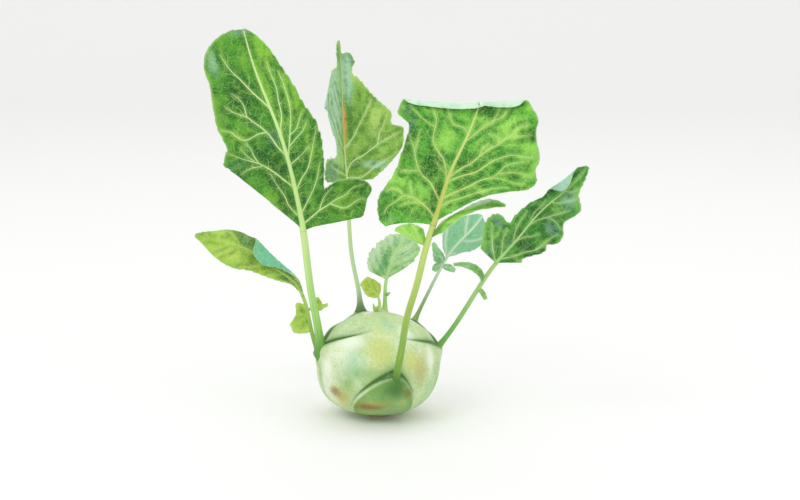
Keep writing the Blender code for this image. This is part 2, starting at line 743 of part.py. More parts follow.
def build_blade(leaf, surface, material):
    """A blade as one thin closed solid with its outline cut into lobes and its midrib raised on both faces."""
    roots, sides = blade_rows(leaf, surface)
    rib = surface.rib_radius(roots)
    fade = np.clip(1.0 - np.arange(len(roots)) / (BEND_ROWS * leaf.steps), 0.0, 1.0)[:, None]
    halves = []
    for number, outline in enumerate(sides):
        width = outline[:, :1]
        inner = np.minimum(rib[:, None] * (0.0, *RIB_COLUMNS) / width, (0.0, *RIB_SHARES))
        outer = np.linspace(0.0, 1.0, leaf.columns + 1)[1:]
        share = np.hstack([inner, inner[:, -1:] + (1.0 - inner[:, -1:]) * outer])
        power = ROW_POWER + (leaf.bend[number] - ROW_POWER) * fade
        along = roots[:, None] + (outline[:, 1:] - roots[:, None]) * share ** power
        halves.append((along, width * share))
    along = np.hstack([halves[0][0][:, :0:-1], halves[1][0]])
    out = np.hstack([-halves[0][1][:, :0:-1], halves[1][1]])
    middle = surface.place(along, out)
    normal = unit(np.cross(np.gradient(middle, axis=1), np.gradient(middle, axis=0)))
    crest = np.clip(1.0 - (np.abs(out) / (RIB_COLUMNS[1] * rib[:, None])) ** 2, 0.0, 1.0) ** 0.5
    crest = crest * rib[:, None]
    upper = middle + normal * (BLADE_THICKNESS / 2.0 + RIB_ABOVE * crest)[..., None]
    lower = middle - normal * (BLADE_THICKNESS / 2.0 + crest)[..., None]
    rows, columns = out.shape
    vertices = np.vstack([upper.reshape(-1, 3), lower.reshape(-1, 3)])
    faces = thin_solid_faces(rows, columns)
    return make_object("blade_" + leaf.name, vertices, orient(vertices, faces), material)


def thin_solid_faces(rows, columns):
    """Triangles of two like grids of vertices, one above the other, closed round their edges."""
    faces = []
    below = rows * columns
    for i in range(rows - 1):
        for j in range(columns - 1):
            a, b = i * columns + j, i * columns + j + 1
            c, d = b + columns, a + columns
            faces += [(a, b, c), (a, c, d), (a + below, c + below, b + below), (a + below, d + below, c + below)]
    rim = list(range(columns))
    rim += [i * columns + columns - 1 for i in range(1, rows)]
    rim += [(rows - 1) * columns + j for j in range(columns - 2, -1, -1)]
    rim += [i * columns for i in range(rows - 2, 0, -1)]
    for k, first in enumerate(rim):
        second = rim[(k + 1) % len(rim)]
        faces += [(first, first + below, second + below), (first, second + below, second)]
    return faces


def main():
    """Build the bulb, and a stalk and a blade for each leaf."""
    clear_scene()
    make_object("bulb", *bulb_mesh(), make_material("bulb", BULB_COLOUR, SKIN_ROUGHNESS))
    for leaf in LEAVES:
        surface = LeafSurface(leaf)
        build_stalk(leaf, surface, make_material("stalk_" + leaf.name, leaf.stalk_colour, SKIN_ROUGHNESS))
        build_blade(leaf, surface, make_material("blade_" + leaf.name, leaf.blade_colour, BLADE_ROUGHNESS))


main()
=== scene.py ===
"""The looks of a kohlrabi as picked: its swollen stem, stalks, blades, veins and their finishes.

Lengths below are millimetres and angles are degrees; MM turns them into metres. The front is -Y, +X is to the
right and +Z is up. Flat leaf coordinates are out, across from the rib, and along, up the rib from the blade's foot.
"""

import logging
from dataclasses import dataclass, field
from enum import Enum, IntEnum
from pathlib import Path as FilePath
from typing import Sequence

import bpy
import numpy as np
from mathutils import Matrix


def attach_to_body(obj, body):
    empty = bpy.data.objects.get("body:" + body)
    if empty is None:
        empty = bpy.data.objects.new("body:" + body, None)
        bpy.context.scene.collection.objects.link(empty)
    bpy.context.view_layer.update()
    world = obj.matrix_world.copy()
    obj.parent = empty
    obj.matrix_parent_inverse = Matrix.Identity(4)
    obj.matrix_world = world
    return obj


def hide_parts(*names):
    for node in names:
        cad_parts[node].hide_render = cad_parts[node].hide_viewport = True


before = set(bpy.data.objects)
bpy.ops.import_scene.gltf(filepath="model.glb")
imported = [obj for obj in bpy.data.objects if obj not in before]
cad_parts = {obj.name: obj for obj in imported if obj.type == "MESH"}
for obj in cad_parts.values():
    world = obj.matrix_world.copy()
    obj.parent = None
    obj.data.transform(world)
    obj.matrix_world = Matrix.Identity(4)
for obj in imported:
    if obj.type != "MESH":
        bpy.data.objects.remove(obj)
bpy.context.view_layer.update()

LOG = logging.getLogger("kohlrabi")

MM = 0.001
SEED = 11
FLAT_SPAN = 200.0

Colour = tuple[float, float, float]
Pair = tuple[float, float]
Points = tuple[tuple[float, float, float], ...]


def shade(red: int, green: int, blue: int) -> Colour:
    """Turn a display colour into a linear one.

    Args:
        red: Red from 0 to 255.
        green: Green from 0 to 255.
        blue: Blue from 0 to 255.

    Returns:
        The three linear parts, by the standard display curve.
    """
    part = np.array([red, green, blue]) / 255.0
    linear = np.where(part <= 0.04045, part / 12.92, ((part + 0.055) / 1.055) ** 2.4)
    return tuple(float(value) for value in linear)


def unit(vectors: np.ndarray) -> np.ndarray:
    """Scale vectors to a length of one."""
    return vectors / np.maximum(np.linalg.norm(vectors, axis=-1, keepdims=True), 1e-9)


def smooth(value: np.ndarray) -> np.ndarray:
    """Ease from 0 to 1: three times the square less twice the cube of the clipped value."""
    value = np.clip(value, 0.0, 1.0)
    return value * value * (3.0 - 2.0 * value)


def hill(value: np.ndarray, width: float) -> np.ndarray:
    """A bell: e to the minus square of the value over its width."""
    return np.exp(-(value / width) ** 2)


def full_turn(count: int) -> np.ndarray:
    """Angles of a count of places evenly round a circle, in radians."""
    return np.linspace(0.0, 2.0 * np.pi, count, endpoint=False)


def spokes(across: np.ndarray, up: np.ndarray, turn: np.ndarray) -> np.ndarray:
    """Vectors round each ring: across by the cosine of the turn plus up by its sine."""
    return np.cos(turn)[None, :, None] * across[:, None] + np.sin(turn)[None, :, None] * up[:, None]


# Meshes.


class Skin(IntEnum):
    """The finishes of a piece, by their place in its list; tubes and the bulb have the first."""

    RIBS = 0
    FACE = 1
    UNDERSIDE = 2


@dataclass
class Patch:
    """A stretch of surface: points, faces, the finish of them all or of each quad, and what varies over it."""

    points: np.ndarray
    quads: np.ndarray
    triangles: np.ndarray
    finish: int | np.ndarray
    flat: np.ndarray
    fields: dict[str, np.ndarray] = field(default_factory=dict)

    def facing_out(self) -> "Patch":
        """Turn every face round where the closed patch encloses a negative volume.

        Returns:
            This patch, its faces pointing outwards.
        """
        triangles = np.vstack([self.quads[:, [0, 1, 2]], self.quads[:, [0, 2, 3]], self.triangles])
        corners = self.points[triangles]
        if np.sum(corners[:, 0] * np.cross(corners[:, 1], corners[:, 2])) < 0.0:
            self.quads = self.quads[:, ::-1]
            self.triangles = self.triangles[:, ::-1]
        return self

    def numbers(self) -> tuple[np.ndarray, np.ndarray]:
        """The finish of each quad and of each triangle."""
        return np.broadcast_to(self.finish, len(self.quads)), np.full(len(self.triangles), np.max(self.finish))


def grid_quads(rows: int, columns: int, wrap: bool = False) -> np.ndarray:
    """Join a grid of vertices, numbered row by row, into quads.

    Args:
        rows: Number of rows.
        columns: Number of columns.
        wrap: Whether the last column joins the first.

    Returns:
        An array of four vertex numbers for each quad.
    """
    row, column = np.meshgrid(np.arange(rows - 1), np.arange(columns if wrap else columns - 1), indexing="ij")
    beside = (column + 1) % columns
    corners = [row * columns + column, row * columns + beside, (row + 1) * columns + beside,
               (row + 1) * columns + column]
    return np.stack(corners, axis=-1).reshape(-1, 4)


def closed_tube(rings: np.ndarray, poles: np.ndarray, flat: np.ndarray, fields: dict[str, np.ndarray]) -> Patch:
    """Close a stack of rings into a tube with a pole at either end.

    Args:
        rings: Points by ring and by place round it.
        poles: The first and the last point.
        flat: Flat coordinates by ring and place.
        fields: Values by ring, spread round each ring.

    Returns:
        The tube as a closed patch.
    """
    count, sides = rings.shape[:2]
    quads = grid_quads(count, sides, wrap=True)
    place = np.arange(sides)
    first, last = count * sides, count * sides + 1
    bottom = np.stack([np.full(sides, first), (place + 1) % sides, place], axis=-1)
    top = np.stack([np.full(sides, last), (count - 1) * sides + place, (count - 1) * sides + (place + 1) % sides],
                   axis=-1)
    points = np.vstack([rings.reshape(-1, 3), poles])
    spread = {name: np.concatenate([np.repeat(values, sides), values[[0, -1]]]) for name, values in fields.items()}
    uv = np.vstack([flat.reshape(-1, 2), flat[0, 0], flat[-1, 0]])
    return Patch(points, quads, np.vstack([bottom, top]), Skin.RIBS, uv, spread).facing_out()


def make_piece(name: str, patches: Sequence[Patch], finishes: Sequence[bpy.types.Material]) -> bpy.types.Object:
    """Join patches into one smooth-shaded object at the origin.

    Args:
        name: The object's name.
        patches: What it is made of, in millimetres.
        finishes: Its materials, in the order that the patches number them.

    Returns:
        The linked object.
    """
    starts = np.cumsum([0] + [len(patch.points) for patch in patches])
    quads = np.vstack([patch.quads + start for patch, start in zip(patches, starts)])
    triangles = np.vstack([patch.triangles + start for patch, start in zip(patches, starts)])
    corners = np.concatenate([quads.ravel(), triangles.ravel()]).astype(np.int32)
    sizes = np.concatenate([np.full(len(quads), 4), np.full(len(triangles), 3)]).astype(np.int32)
    numbers = np.concatenate([patch.numbers()[0] for patch in patches] + [patch.numbers()[1] for patch in patches])
    mesh = bpy.data.meshes.new(name)
    mesh.vertices.add(int(starts[-1]))
    mesh.vertices.foreach_set("co", (np.vstack([patch.points for patch in patches]) * MM).ravel())
    mesh.loops.add(len(corners))
    mesh.loops.foreach_set("vertex_index", corners)
    mesh.polygons.add(len(sizes))
    mesh.polygons.foreach_set("loop_start", np.concatenate([[0], np.cumsum(sizes)[:-1]]).astype(np.int32))
    mesh.polygons.foreach_set("material_index", numbers.astype(np.int32))
    mesh.update(calc_edges=True)
    mesh.validate()
    flat = np.vstack([patch.flat for patch in patches])
    layer = mesh.uv_layers.new(name="flat")
    layer.uv.foreach_set("vector", flat[corners].ravel().astype(np.float32))
    for key in sorted({key for patch in patches for key in patch.fields}):
        values = [patch.fields.get(key, np.zeros(len(patch.points))) for patch in patches]
        attribute = mesh.attributes.new(key, "FLOAT", "POINT")
        attribute.data.foreach_set("value", np.concatenate(values).astype(np.float32))
    mesh.shade_smooth()
    for finish in finishes:
        mesh.materials.append(finish)
    piece = bpy.data.objects.new(name, mesh)
    bpy.context.scene.collection.objects.link(piece)
    return piece


# Shader nodes.


class Wire:
    """A socket's output, on which sums and products add Math nodes."""

    def __init__(self, board: "Board", socket: bpy.types.NodeSocket) -> None:
        self.board = board
        self.socket = socket

    def math(self, operation: str, *values: "Wire | float") -> "Wire":
        """Add one Math node on these values."""
        return self.board.node("ShaderNodeMath", {"operation": operation}, dict(enumerate(values)))

    def __add__(self, other: "Wire | float") -> "Wire":
        """The sum of two values."""
        return self.math("ADD", self, other)

    __radd__ = __add__

    def __sub__(self, other: "Wire | float") -> "Wire":
        """This value less the other."""
        return self.math("SUBTRACT", self, other)

    def __rsub__(self, other: "Wire | float") -> "Wire":
        """The other value less this one."""
        return self.math("SUBTRACT", other, self)

    def __mul__(self, other: "Wire | float") -> "Wire":
        """The product of two values."""
        return self.math("MULTIPLY", self, other)

    __rmul__ = __mul__

    def most(self, other: "Wire | float") -> "Wire":
        """The larger of two values."""
        return self.math("MAXIMUM", self, other)


class Board:
    """One material and the nodes that make it."""

    def __init__(self, name: str) -> None:
        self.material = bpy.data.materials.new(name)
        self.material.use_nodes = True
        self.tree = self.material.node_tree
        self.shader = self.tree.nodes["Principled BSDF"]

    def node(self, kind: str, settings: dict, values: dict, output: str | int = 0) -> Wire:
        """Add a node: its settings first, then its sockets.

        Args:
            kind: The node's type.
            settings: Its own properties.
            values: What each socket holds, or the wire that feeds it, by name or number.
            output: Which output is read.

        Returns:
            That output.
        """
        item = self.tree.nodes.new(kind)
        for key, value in settings.items():
            setattr(item, key, value)
        for key, value in values.items():
            if isinstance(value, Wire):
                self.tree.links.new(value.socket, item.inputs[key])
            elif isinstance(value, tuple) and item.inputs[key].type == "RGBA":
                item.inputs[key].default_value = (*value, 1.0)
            else:
                item.inputs[key].default_value = value
        return Wire(self, item.outputs[output])

    def mix(self, first: "Wire | Colour", second: "Wire | Colour", share: "Wire | float") -> Wire:
        """Mix two colours by a share of the second."""
        return self.node("ShaderNodeMix", {"data_type": "RGBA"}, {0: share, 6: first, 7: second}, 2)

    def lay(self, colour: "Wire | Colour", *layers: tuple) -> Wire:
        """Lay colours over one another.

        Args:
            colour: What lies under them.
            layers: For each, its colour, the pattern that places it, the pattern's values where it starts and
                where it is full, and its greatest share.

        Returns:
            The colour on top.
        """
        for tone, pattern, start, full, share in layers:
            colour = self.mix(colour, tone, self.step(pattern, start, full) * share)
        return colour

    def field(self, name: str) -> Wire:
        """Read a value that the mesh carries."""
        return self.node("ShaderNodeAttribute", {"attribute_name": name}, {}, "Fac")

    def flat(self, stretch: tuple[float, float] = (1.0, 1.0)) -> Wire:
        """Read the flat coordinates, stretched."""
        uv = self.node("ShaderNodeUVMap", {"uv_map": "flat"}, {})
        return self.node("ShaderNodeMapping", {}, {"Vector": uv, "Scale": (*stretch, 1.0)})

    def solid(self) -> Wire:
        """Read the object's own coordinates."""
        return self.node("ShaderNodeTexCoord", {}, {}, "Object")

    def noise(self, where: Wire, scale: float, detail: float = 3.0, roughness: float = 0.55,
              distortion: float = 0.0) -> Wire:
        """Add soft noise about a middle of one half."""
        return self.node("ShaderNodeTexNoise", {}, {"Vector": where, "Scale": scale, "Detail": detail,
                                                    "Roughness": roughness, "Distortion": distortion})

    def step(self, value: Wire, low: float, high: float) -> Wire:
        """Ease from 0 at low to 1 at high."""
        return self.node("ShaderNodeMapRange", {"interpolation_type": "SMOOTHSTEP"},
                         {"Value": value, "From Min": low, "From Max": high})

    def net(self, where: Wire, scale: float, width: float) -> Wire:
        """Draw the borders of random cells as lines of a given share of a cell."""
        edge = self.node("ShaderNodeTexVoronoi", {"feature": "DISTANCE_TO_EDGE"},
                         {"Vector": where, "Scale": scale}, "Distance")
        return 1.0 - self.step(edge, 0.0, width)

    def finish(self, colour: Wire, roughness: Wire, height: Wire, depth: float, coat: float = 0.0) -> None:
        """Feed the shader.

        Args:
            colour: The base colour.
            roughness: The roughness.
            height: The relief that bumps the surface.
            depth: The relief's depth in millimetres.
            coat: The weight of the waxy coat.
        """
        bump = self.node("ShaderNodeBump", {}, {"Strength": 1.0, "Distance": depth * MM, "Height": height})
        self.tree.links.new(colour.socket, self.shader.inputs["Base Color"])
        self.tree.links.new(roughness.socket, self.shader.inputs["Roughness"])
        self.tree.links.new(bump.socket, self.shader.inputs["Normal"])
        self.shader.inputs["Coat Weight"].default_value = coat
        self.shader.inputs["Coat Roughness"].default_value = 0.35
        self.shader.inputs["Specular IOR Level"].default_value = 0.25


# Finishes.


@dataclass(frozen=True)
class BladeFinish:
    """The greens of one blade, from its deepest to its brightest, and those of its veins and edge."""

    # deep also paints the shade where the blade dips, under each roll and in the hollows beside the veins.
    deep: Colour
    middle: Colour
    # bright also paints the light where light falls on the blade.
    bright: Colour
    vein: Colour
    bloom: Colour = shade(176, 218, 190)
    tint: Colour = shade(60, 120, 84)
    edge: Colour = shade(176, 212, 140)
    rust: Colour = shade(232, 166, 100)

    def upper(self, name: str) -> bpy.types.Material:
        """Make the face of the blade: washes of green, painted shade and painted light from its deep and bright spots,
        painted shade in the hollows beside the veins, a faint pale net of veins, and a pale edge.

        Args:
            name: The material's name.

        Returns:
            The material.
        """
        board = Board(name)
        where = board.flat()
        wash = board.noise(where, 6.0, 2.0, 0.5, 0.6)
        mottle = board.noise(where, 30.0, 4.0, 0.62)
        grain = board.noise(where, 150.0, 3.0, 0.65)
        watery = 0.45 + wash * 0.6 + mottle * 0.5
        washes = {"bright": self.bright, "deep": self.deep, "tint": self.tint, "bloom": self.bloom, "rust": self.rust}
        colour = board.lay(
            self.middle,
            (self.deep, wash, 0.50, 0.70, 0.60),
            (self.bright, wash, 0.50, 0.32, 0.60),
            # The deep and bright spots are painted shade and painted light; bloom is partly a painted sheen.
            *((tone, board.field(key) * watery, 0.10, 0.85, 1.0) for key, tone in washes.items()),
            (self.bright, mottle, 0.55, 0.25, 0.38),
            (self.deep, mottle, 0.45, 0.75, 0.42),
            # Painted shade in the hollows beside the veins.
            (self.deep, mottle, 0.25, 0.65, board.field("hollow") * 0.75),
            (self.deep, grain, 0.50, 0.66, 0.38),
            (self.bright, grain, 0.50, 0.36, 0.34),
        )
        coarse, fine = board.net(where, 24.0, 0.025), board.net(where, 60.0, 0.04)
        lines = (coarse * 0.8).most(fine * board.step(mottle, 0.6, 0.4))
        colour = board.mix(colour, self.vein, lines * 0.34)
        colour = board.lay(colour, (self.bright, wash, 0.56, 0.40, board.field("margin") * 0.65))
        colour = board.mix(colour, self.vein, board.field("veining") * 0.22)
        colour = board.mix(colour, self.edge, board.field("edge") * 0.7)
        relief = grain * 0.5 + mottle * 0.4 - lines * 0.6 - board.field("veining") * 0.5
        board.finish(colour, 0.50 + mottle * 0.20, relief, 0.22)
        return board.material

    def lower(self, name: str) -> bpy.types.Material:
        """Make the underside of the blade: duller and bluer, with a raised pale net.

        Args:
            name: The material's name.

        Returns:
            The material.
        """
        board = Board(name)
        where = board.flat()
        wash = board.noise(where, 7.0, 3.0, 0.5, 0.4)
        mottle = board.noise(where, 40.0, 4.0, 0.6)
        colour = board.mix(self.bloom, self.middle, 0.06 + board.step(wash, 0.46, 0.74) * 0.40)
        colour = board.mix(colour, self.tint, board.step(mottle, 0.52, 0.76) * 0.35)
        lines = board.net(where, 34.0, 0.04) * 0.3
        colour = board.mix(colour, shade(226, 240, 218), lines.most(board.field("veining") * 0.6))
        colour = board.mix(colour, self.edge, board.field("edge") * 0.4)
        board.finish(colour, 0.55 + wash * 0.2, lines + mottle * 0.5, 0.20)
        return board.material


@dataclass(frozen=True)
class StalkFinish:
    """The colours of a stalk from its foot to the rib's end, and of the veins that leave it."""

    foot: Colour
    stem: Colour
    rib: Colour
    streak: Colour
    rust: Colour = shade(222, 150, 84)

    def skin(self, name: str) -> bpy.types.Material:
        """Make the skin of the stalk, ribs and veins: long streaks over a change of colour up the stalk.

        Args:
            name: The material's name.

        Returns:
            The material.
        """
        board = Board(name)
        where = board.flat()
        streaks = board.noise(board.flat((26.0, 2.0)), 1.0, 4.0, 0.6)
        patches = board.noise(where, 9.0, 3.0)
        colour = board.mix(self.stem, self.rib, board.field("ribward"))
        colour = board.lay(colour, (self.streak, streaks, 0.48, 0.66, 0.85 - 0.65 * board.field("ribward")),
                           (self.rib, patches, 0.52, 0.74, 0.35))
        colour = board.mix(colour, self.foot, board.field("footward"))
        colour = board.lay(colour, (self.rust, patches, 0.30, 0.55, board.field("rusty")))
        board.finish(colour, 0.36 + streaks * 0.22, streaks, 0.22, 0.15)
        return board.material


@dataclass(frozen=True)
class BulbFinish:
    """The colours of the swollen stem, of its leaf bases, of its weathered marks and of its painted highlights and
    shade.
    """

    skin: Colour = shade(192, 214, 158)
    cool: Colour = shade(140, 196, 146)
    warm: Colour = shade(204, 208, 104)
    # light also paints the highlights of the light marks.
    light: Colour = shade(228, 238, 214)
    # green also paints the shade of the front green marks and above the leaf-base arches.
    green: Colour = shade(122, 168, 84)
    shield: Colour = shade(104, 158, 62)
    # dark also paints the shade in the creases of the leaf-base steps.
    dark: Colour = shade(60, 108, 40)
    ochre: Colour = shade(182, 156, 62)
    brown: Colour = shade(146, 96, 50)
    cork: Colour = shade(190, 172, 128)

    def skinned(self, name: str) -> bpy.types.Material:
        """Make the skin: pale green washes, leaf bases, weathered marks, painted highlights and painted shade, dark
        arches of painted shade in the creases of the leaf-base steps, and fine corky lines.

        Args:
            name: The material's name.

        Returns:
            The material.
        """
        board = Board(name)
        where = board.solid()
        wash = board.noise(where, 22.0, 3.0, 0.5, 0.7)
        cloud = board.noise(where, 60.0, 4.0, 0.6, 0.3)
        grain = board.noise(where, 520.0, 3.0, 0.65)
        frayed = cloud * 1.2 + 0.3
        stains_and_shading = {"light": self.light, "warm": self.warm, "cool": self.cool, "green": self.green}
        colour = board.lay(
            self.skin,
            (self.light, wash, 0.50, 0.34, 0.8),
            (self.cool, wash, 0.50, 0.70, 0.5),
            (self.warm, cloud, 0.52, 0.72, 0.4),
            (self.green, cloud, 0.48, 0.30, 0.3),
            (self.green, grain, 0.50, 0.68, 0.32),
            (self.light, grain, 0.48, 0.34, 0.30),
            # The light marks are painted highlights and the front green marks painted shade.
            *((tone, board.field(key) * frayed, 0.05, 0.85, 1.0) for key, tone in stains_and_shading.items()),
        )
        base = board.lay(self.shield, (self.dark, cloud, 0.48, 0.66, 0.55), (self.warm, cloud, 0.46, 0.34, 0.45))
        colour = board.mix(colour, base, board.field("shield") * 0.92)
        colour = board.lay(colour, (self.ochre, board.field("ochre") * frayed, 0.08, 0.85, 0.85),
                           (self.brown, board.field("brown") * frayed, 0.15, 0.80, 0.85))
        colour = board.mix(colour, self.green, board.field("shadow") * 0.7)
        # Painted shade in the creases of the leaf-base steps and round the front stalk's foot.
        colour = board.mix(colour, self.dark, board.field("line"))
        specks = board.net(where, 210.0, 0.10) * board.step(cloud, 0.52, 0.64)
        colour = board.mix(colour, self.light, specks * (1.0 - board.field("shield")) * 0.2)
        colour = board.mix(colour, self.cork, board.field("cut"))
        relief = grain * 0.6 + cloud * 0.8 - specks * 0.5
        board.finish(colour, 0.40 + grain * 0.16 + board.field("cut") * 0.4, relief, 0.25, 0.05)
        return board.material


# Leaf forms, the same as those of the solids.


@dataclass(frozen=True)
class Roll:
    """A line across the flat blade; what is on its left rolls over towards the face, fully from fade past its start."""

    start: Pair
    end: Pair
    radius: float
    angle: float
    fade: float = 0.0

    @property
    def line(self) -> np.ndarray:
        """The direction of the line."""
        return unit(np.array(self.end, dtype=float) - np.array(self.start, dtype=float))

    def beyond(self, along: np.ndarray, out: np.ndarray) -> tuple[np.ndarray, np.ndarray]:
        """How far flat points lie to the line's left, and how far past its start along it."""
        ahead = self.line
        aside, up = out - self.start[0], along - self.start[1]
        return up * ahead[0] - aside * ahead[1], aside * ahead[0] + up * ahead[1]


@dataclass(frozen=True)
class Ridge:
    """The leaf's base on the bulb: a step that runs out to both sides and falls, or climbs, by its drop."""

    height: float = 1.2
    reach: Pair = (16.0, 16.0)
    drop: float = 6.0
    power: float = 1.5
    rise: float = 3.0


@dataclass(frozen=True)
class Vein:
    """A side vein through flat points (out, along), from the rib or from another vein, and its share of the width."""

    points: tuple[Pair, ...]
    width: float = 1.0

    def line(self) -> np.ndarray:
        """Sample the vein, rounded through its points."""
        return rounded(np.array(self.points, dtype=float), 6)


class Tone(Enum):
    """What a wash turns the face towards, by the name of the field that carries it; deep and bright paint shade and
    light.
    """

    # Painted shade where the blade dips, and the painted shadow under each roll.
    DEEP = "deep"
    # Painted light where light falls on the blade.
    BRIGHT = "bright"
    # The pale waxy bloom; on back_tall's left wing it is also a painted sheen, seen at a grazing angle.
    BLOOM = "bloom"
    TINT = "tint"
    RUST = "rust"


@dataclass(frozen=True)
class Spot:
    """A soft patch of colour: its tone, its middle, its half sizes in millimetres and its strength.

    The middle is (out, along) on a leaf; on the bulb it is degrees round from the front, and a height.
    """

    tone: Enum
    across: float
    up: float
    half_across: float
    half_up: float
    strength: float = 1.0

    @classmethod
    def of(cls, tone: Enum, *rows: tuple[float, ...]) -> tuple["Spot", ...]:
        """Make a spot of one tone from each row of the other values."""
        return tuple(cls(tone, *row) for row in rows)

    def bell(self, beside: np.ndarray, above: np.ndarray) -> np.ndarray:
        """Strength at distances from the middle: the product of a bell each way and the spot's own."""
        return self.strength * hill(beside, self.half_across) * hill(above, self.half_up)


@dataclass(frozen=True)
class LeafForm:
    """A leaf or leaflet: its stalk and rib run along a path, and its outlines are (out, along) from the rib."""

    name: str
    path: Points
    stalk: float
    facing: tuple[float, float, float]
    left: tuple[Pair, ...]
    right: tuple[Pair, ...]
    bend: Pair = (1.0, 1.0)
    fold: Pair = (0.0, 0.0)
    curl: Pair = (0.0, 0.0)
    wave: Pair = (0.0, 30.0)
    radius: Pair = (2.6, 2.2)
    foot: float = 4.5
    ridge: Ridge = Ridge()
    rolls: tuple[Roll, ...] = ()
    leaflets: tuple["LeafForm", ...] = ()
    attach: float = 0.0
    veins: tuple[Vein, ...] = ()
    teeth: Pair = (0.7, 5.0)
    quilt: float = 0.8
    washes: tuple[Spot, ...] = ()
    rust: Pair = (0.0, 0.0)
    blade_finish: BladeFinish | None = None
    stalk_finish: StalkFinish | None = None


def leaflet(name: str, attach: float, path: Points, left: tuple[Pair, ...], right: tuple[Pair, ...],
            **more: object) -> LeafForm:
    """Make a leaflet, which has no stalk of its own.

    Args:
        name: Its name.
        attach: Length up the leaf's stalk where it grows.
        path: Its rib, measured from there.
        left: Its left outline.
        right: Its right outline.
        more: Values of the form that take the place of the usual ones.

    Returns:
        The leaflet's form.
    """
    usual = {"stalk": 0.0, "facing": (0.0, -0.9, 0.3), "radius": (0.8, 0.6)}
    return LeafForm(name=name, attach=attach, path=path, left=left, right=right, **(usual | more))


LEFT_TALL = LeafForm(
    name="left_tall",
    path=((-44, -15, 54), (-47, -22, 79), (-51, -30, 105), (-56, -41, 154), (-60, -46, 178), (-73, -54, 232),
          (-91, -51, 279), (-99, -44, 306)),
    stalk=104.0,
    facing=(0.2, -0.95, 0.2),
    left=((12, 20), (20, 29), (26, 41), (32, 47), (39, 57), (47, 71), (42, 83), (42, 100), (40, 115), (36, 128),
          (36, 140), (32, 149), (22, 157), (11, 161)),
    right=((15, 4), (31, 5), (46, 1), (53, 9), (61, 16), (51, 27), (35, 32), (22, 28), (27, 52), (29, 75),
           (25, 91), (21, 118), (15, 141), (8, 154)),
    fold=(8.0, 6.0),
    curl=(-3.0, -4.0),
    wave=(2.0, 34.0),
    radius=(3.1, 2.6),
    foot=6.5,
    ridge=Ridge(height=2.2, reach=(30.0, 44.0), drop=-17.0, power=0.5, rise=1.0),
    teeth=(1.5, 8.0),
    veins=(
        Vein(((0, 98), (-4, 106), (-9, 116), (-13, 125), (-18, 134), (-22, 145))),
        Vein(((0, 60), (-5, 70), (-8, 80), (-12, 88), (-16, 94), (-19, 99), (-26, 105), (-31, 111))),
        Vein(((-19, 99), (-18, 106), (-19, 112), (-23, 118)), 0.6),
        Vein(((-10, 83), (-16, 84), (-23, 83), (-28, 84), (-32, 89), (-34, 93), (-40, 97)), 0.8),
        Vein(((0, 35), (-7, 44), (-12, 51), (-20, 60), (-25, 64), (-32, 69), (-42, 78))),
        Vein(((-22, 62), (-24, 69), (-25, 76), (-27, 81)), 0.6),
        Vein(((-20, 59), (-27, 60), (-33, 59), (-39, 56)), 0.6),
        Vein(((-25, 65), (-29, 71), (-32, 79)), 0.5),
        Vein(((0, 10), (-7, 22), (-9, 31), (-13, 42), (-16, 52)), 0.6),
        Vein(((0, 73), (2, 82), (6, 91), (8, 102), (10, 111), (10, 122), (10, 132)), 0.9),
        Vein(((0, 57), (4, 68), (8, 78), (13, 90), (15, 100), (16, 111), (16, 122)), 0.9),
        Vein(((7, 75), (13, 78), (18, 84), (22, 88)), 0.6),
        Vein(((4, 67), (10, 71), (17, 75), (22, 80)), 0.7),
        Vein(((0, 53), (8, 57), (14, 60), (18, 63)), 0.7),
        Vein(((0, 31), (6, 40), (13, 47), (18, 56), (23, 66), (28, 75)), 0.8),
        Vein(((0, 13), (8, 23), (14, 31), (19, 40), (23, 49)), 0.7),
        Vein(((0, 5), (9, 10), (15, 13), (22, 15), (29, 17), (38, 18), (45, 21), (55, 20))),
        Vein(((25, 15), (33, 10), (39, 10), (47, 12), (55, 10)), 0.7),
        Vein(((15, 13), (19, 20), (23, 24), (28, 27)), 0.5),
    ),
    # The deep spots are painted shade where the blade dips; the bright spots are painted light.
    washes=(
        *Spot.of(Tone.BRIGHT, (10, 142, 7, 22, 0.9), (18, 102, 6, 26, 0.9), (2, 116, 4, 24, 0.9),
                 (-30, 88, 12, 9, 0.6), (-22, 32, 10, 8, 0.6), (19, 60, 5, 28, 0.6), (36, 15, 18, 8, 0.7),
                 (-6, 138, 6, 14, 0.5)),
        *Spot.of(Tone.DEEP, (-18, 116, 12, 16, 0.8), (-37, 113, 5, 16, 0.9), (-11, 53, 10, 18),
                 (-18, 69, 12, 8, 0.8), (-9, 26, 7, 14, 0.9), (26, 24, 8, 6, 0.6), (5, 24, 3, 14, 0.9)),
        *Spot.of(Tone.BLOOM, (-29, 142, 6, 12, 0.5), (-3, 159, 14, 5, 0.4)),
        *Spot.of(Tone.TINT, (-38, 105, 6, 10, 0.5), (-6, 77, 6, 9, 0.9), (-37, 65, 12, 6, 0.6)),
    ),
    blade_finish=BladeFinish(deep=shade(26, 88, 30), middle=shade(64, 140, 38), bright=shade(128, 190, 54),
                             vein=shade(206, 234, 152)),
    stalk_finish=StalkFinish(foot=shade(96, 150, 62), stem=shade(148, 204, 100), rib=shade(206, 232, 156),
                             streak=shade(112, 172, 76)),
)

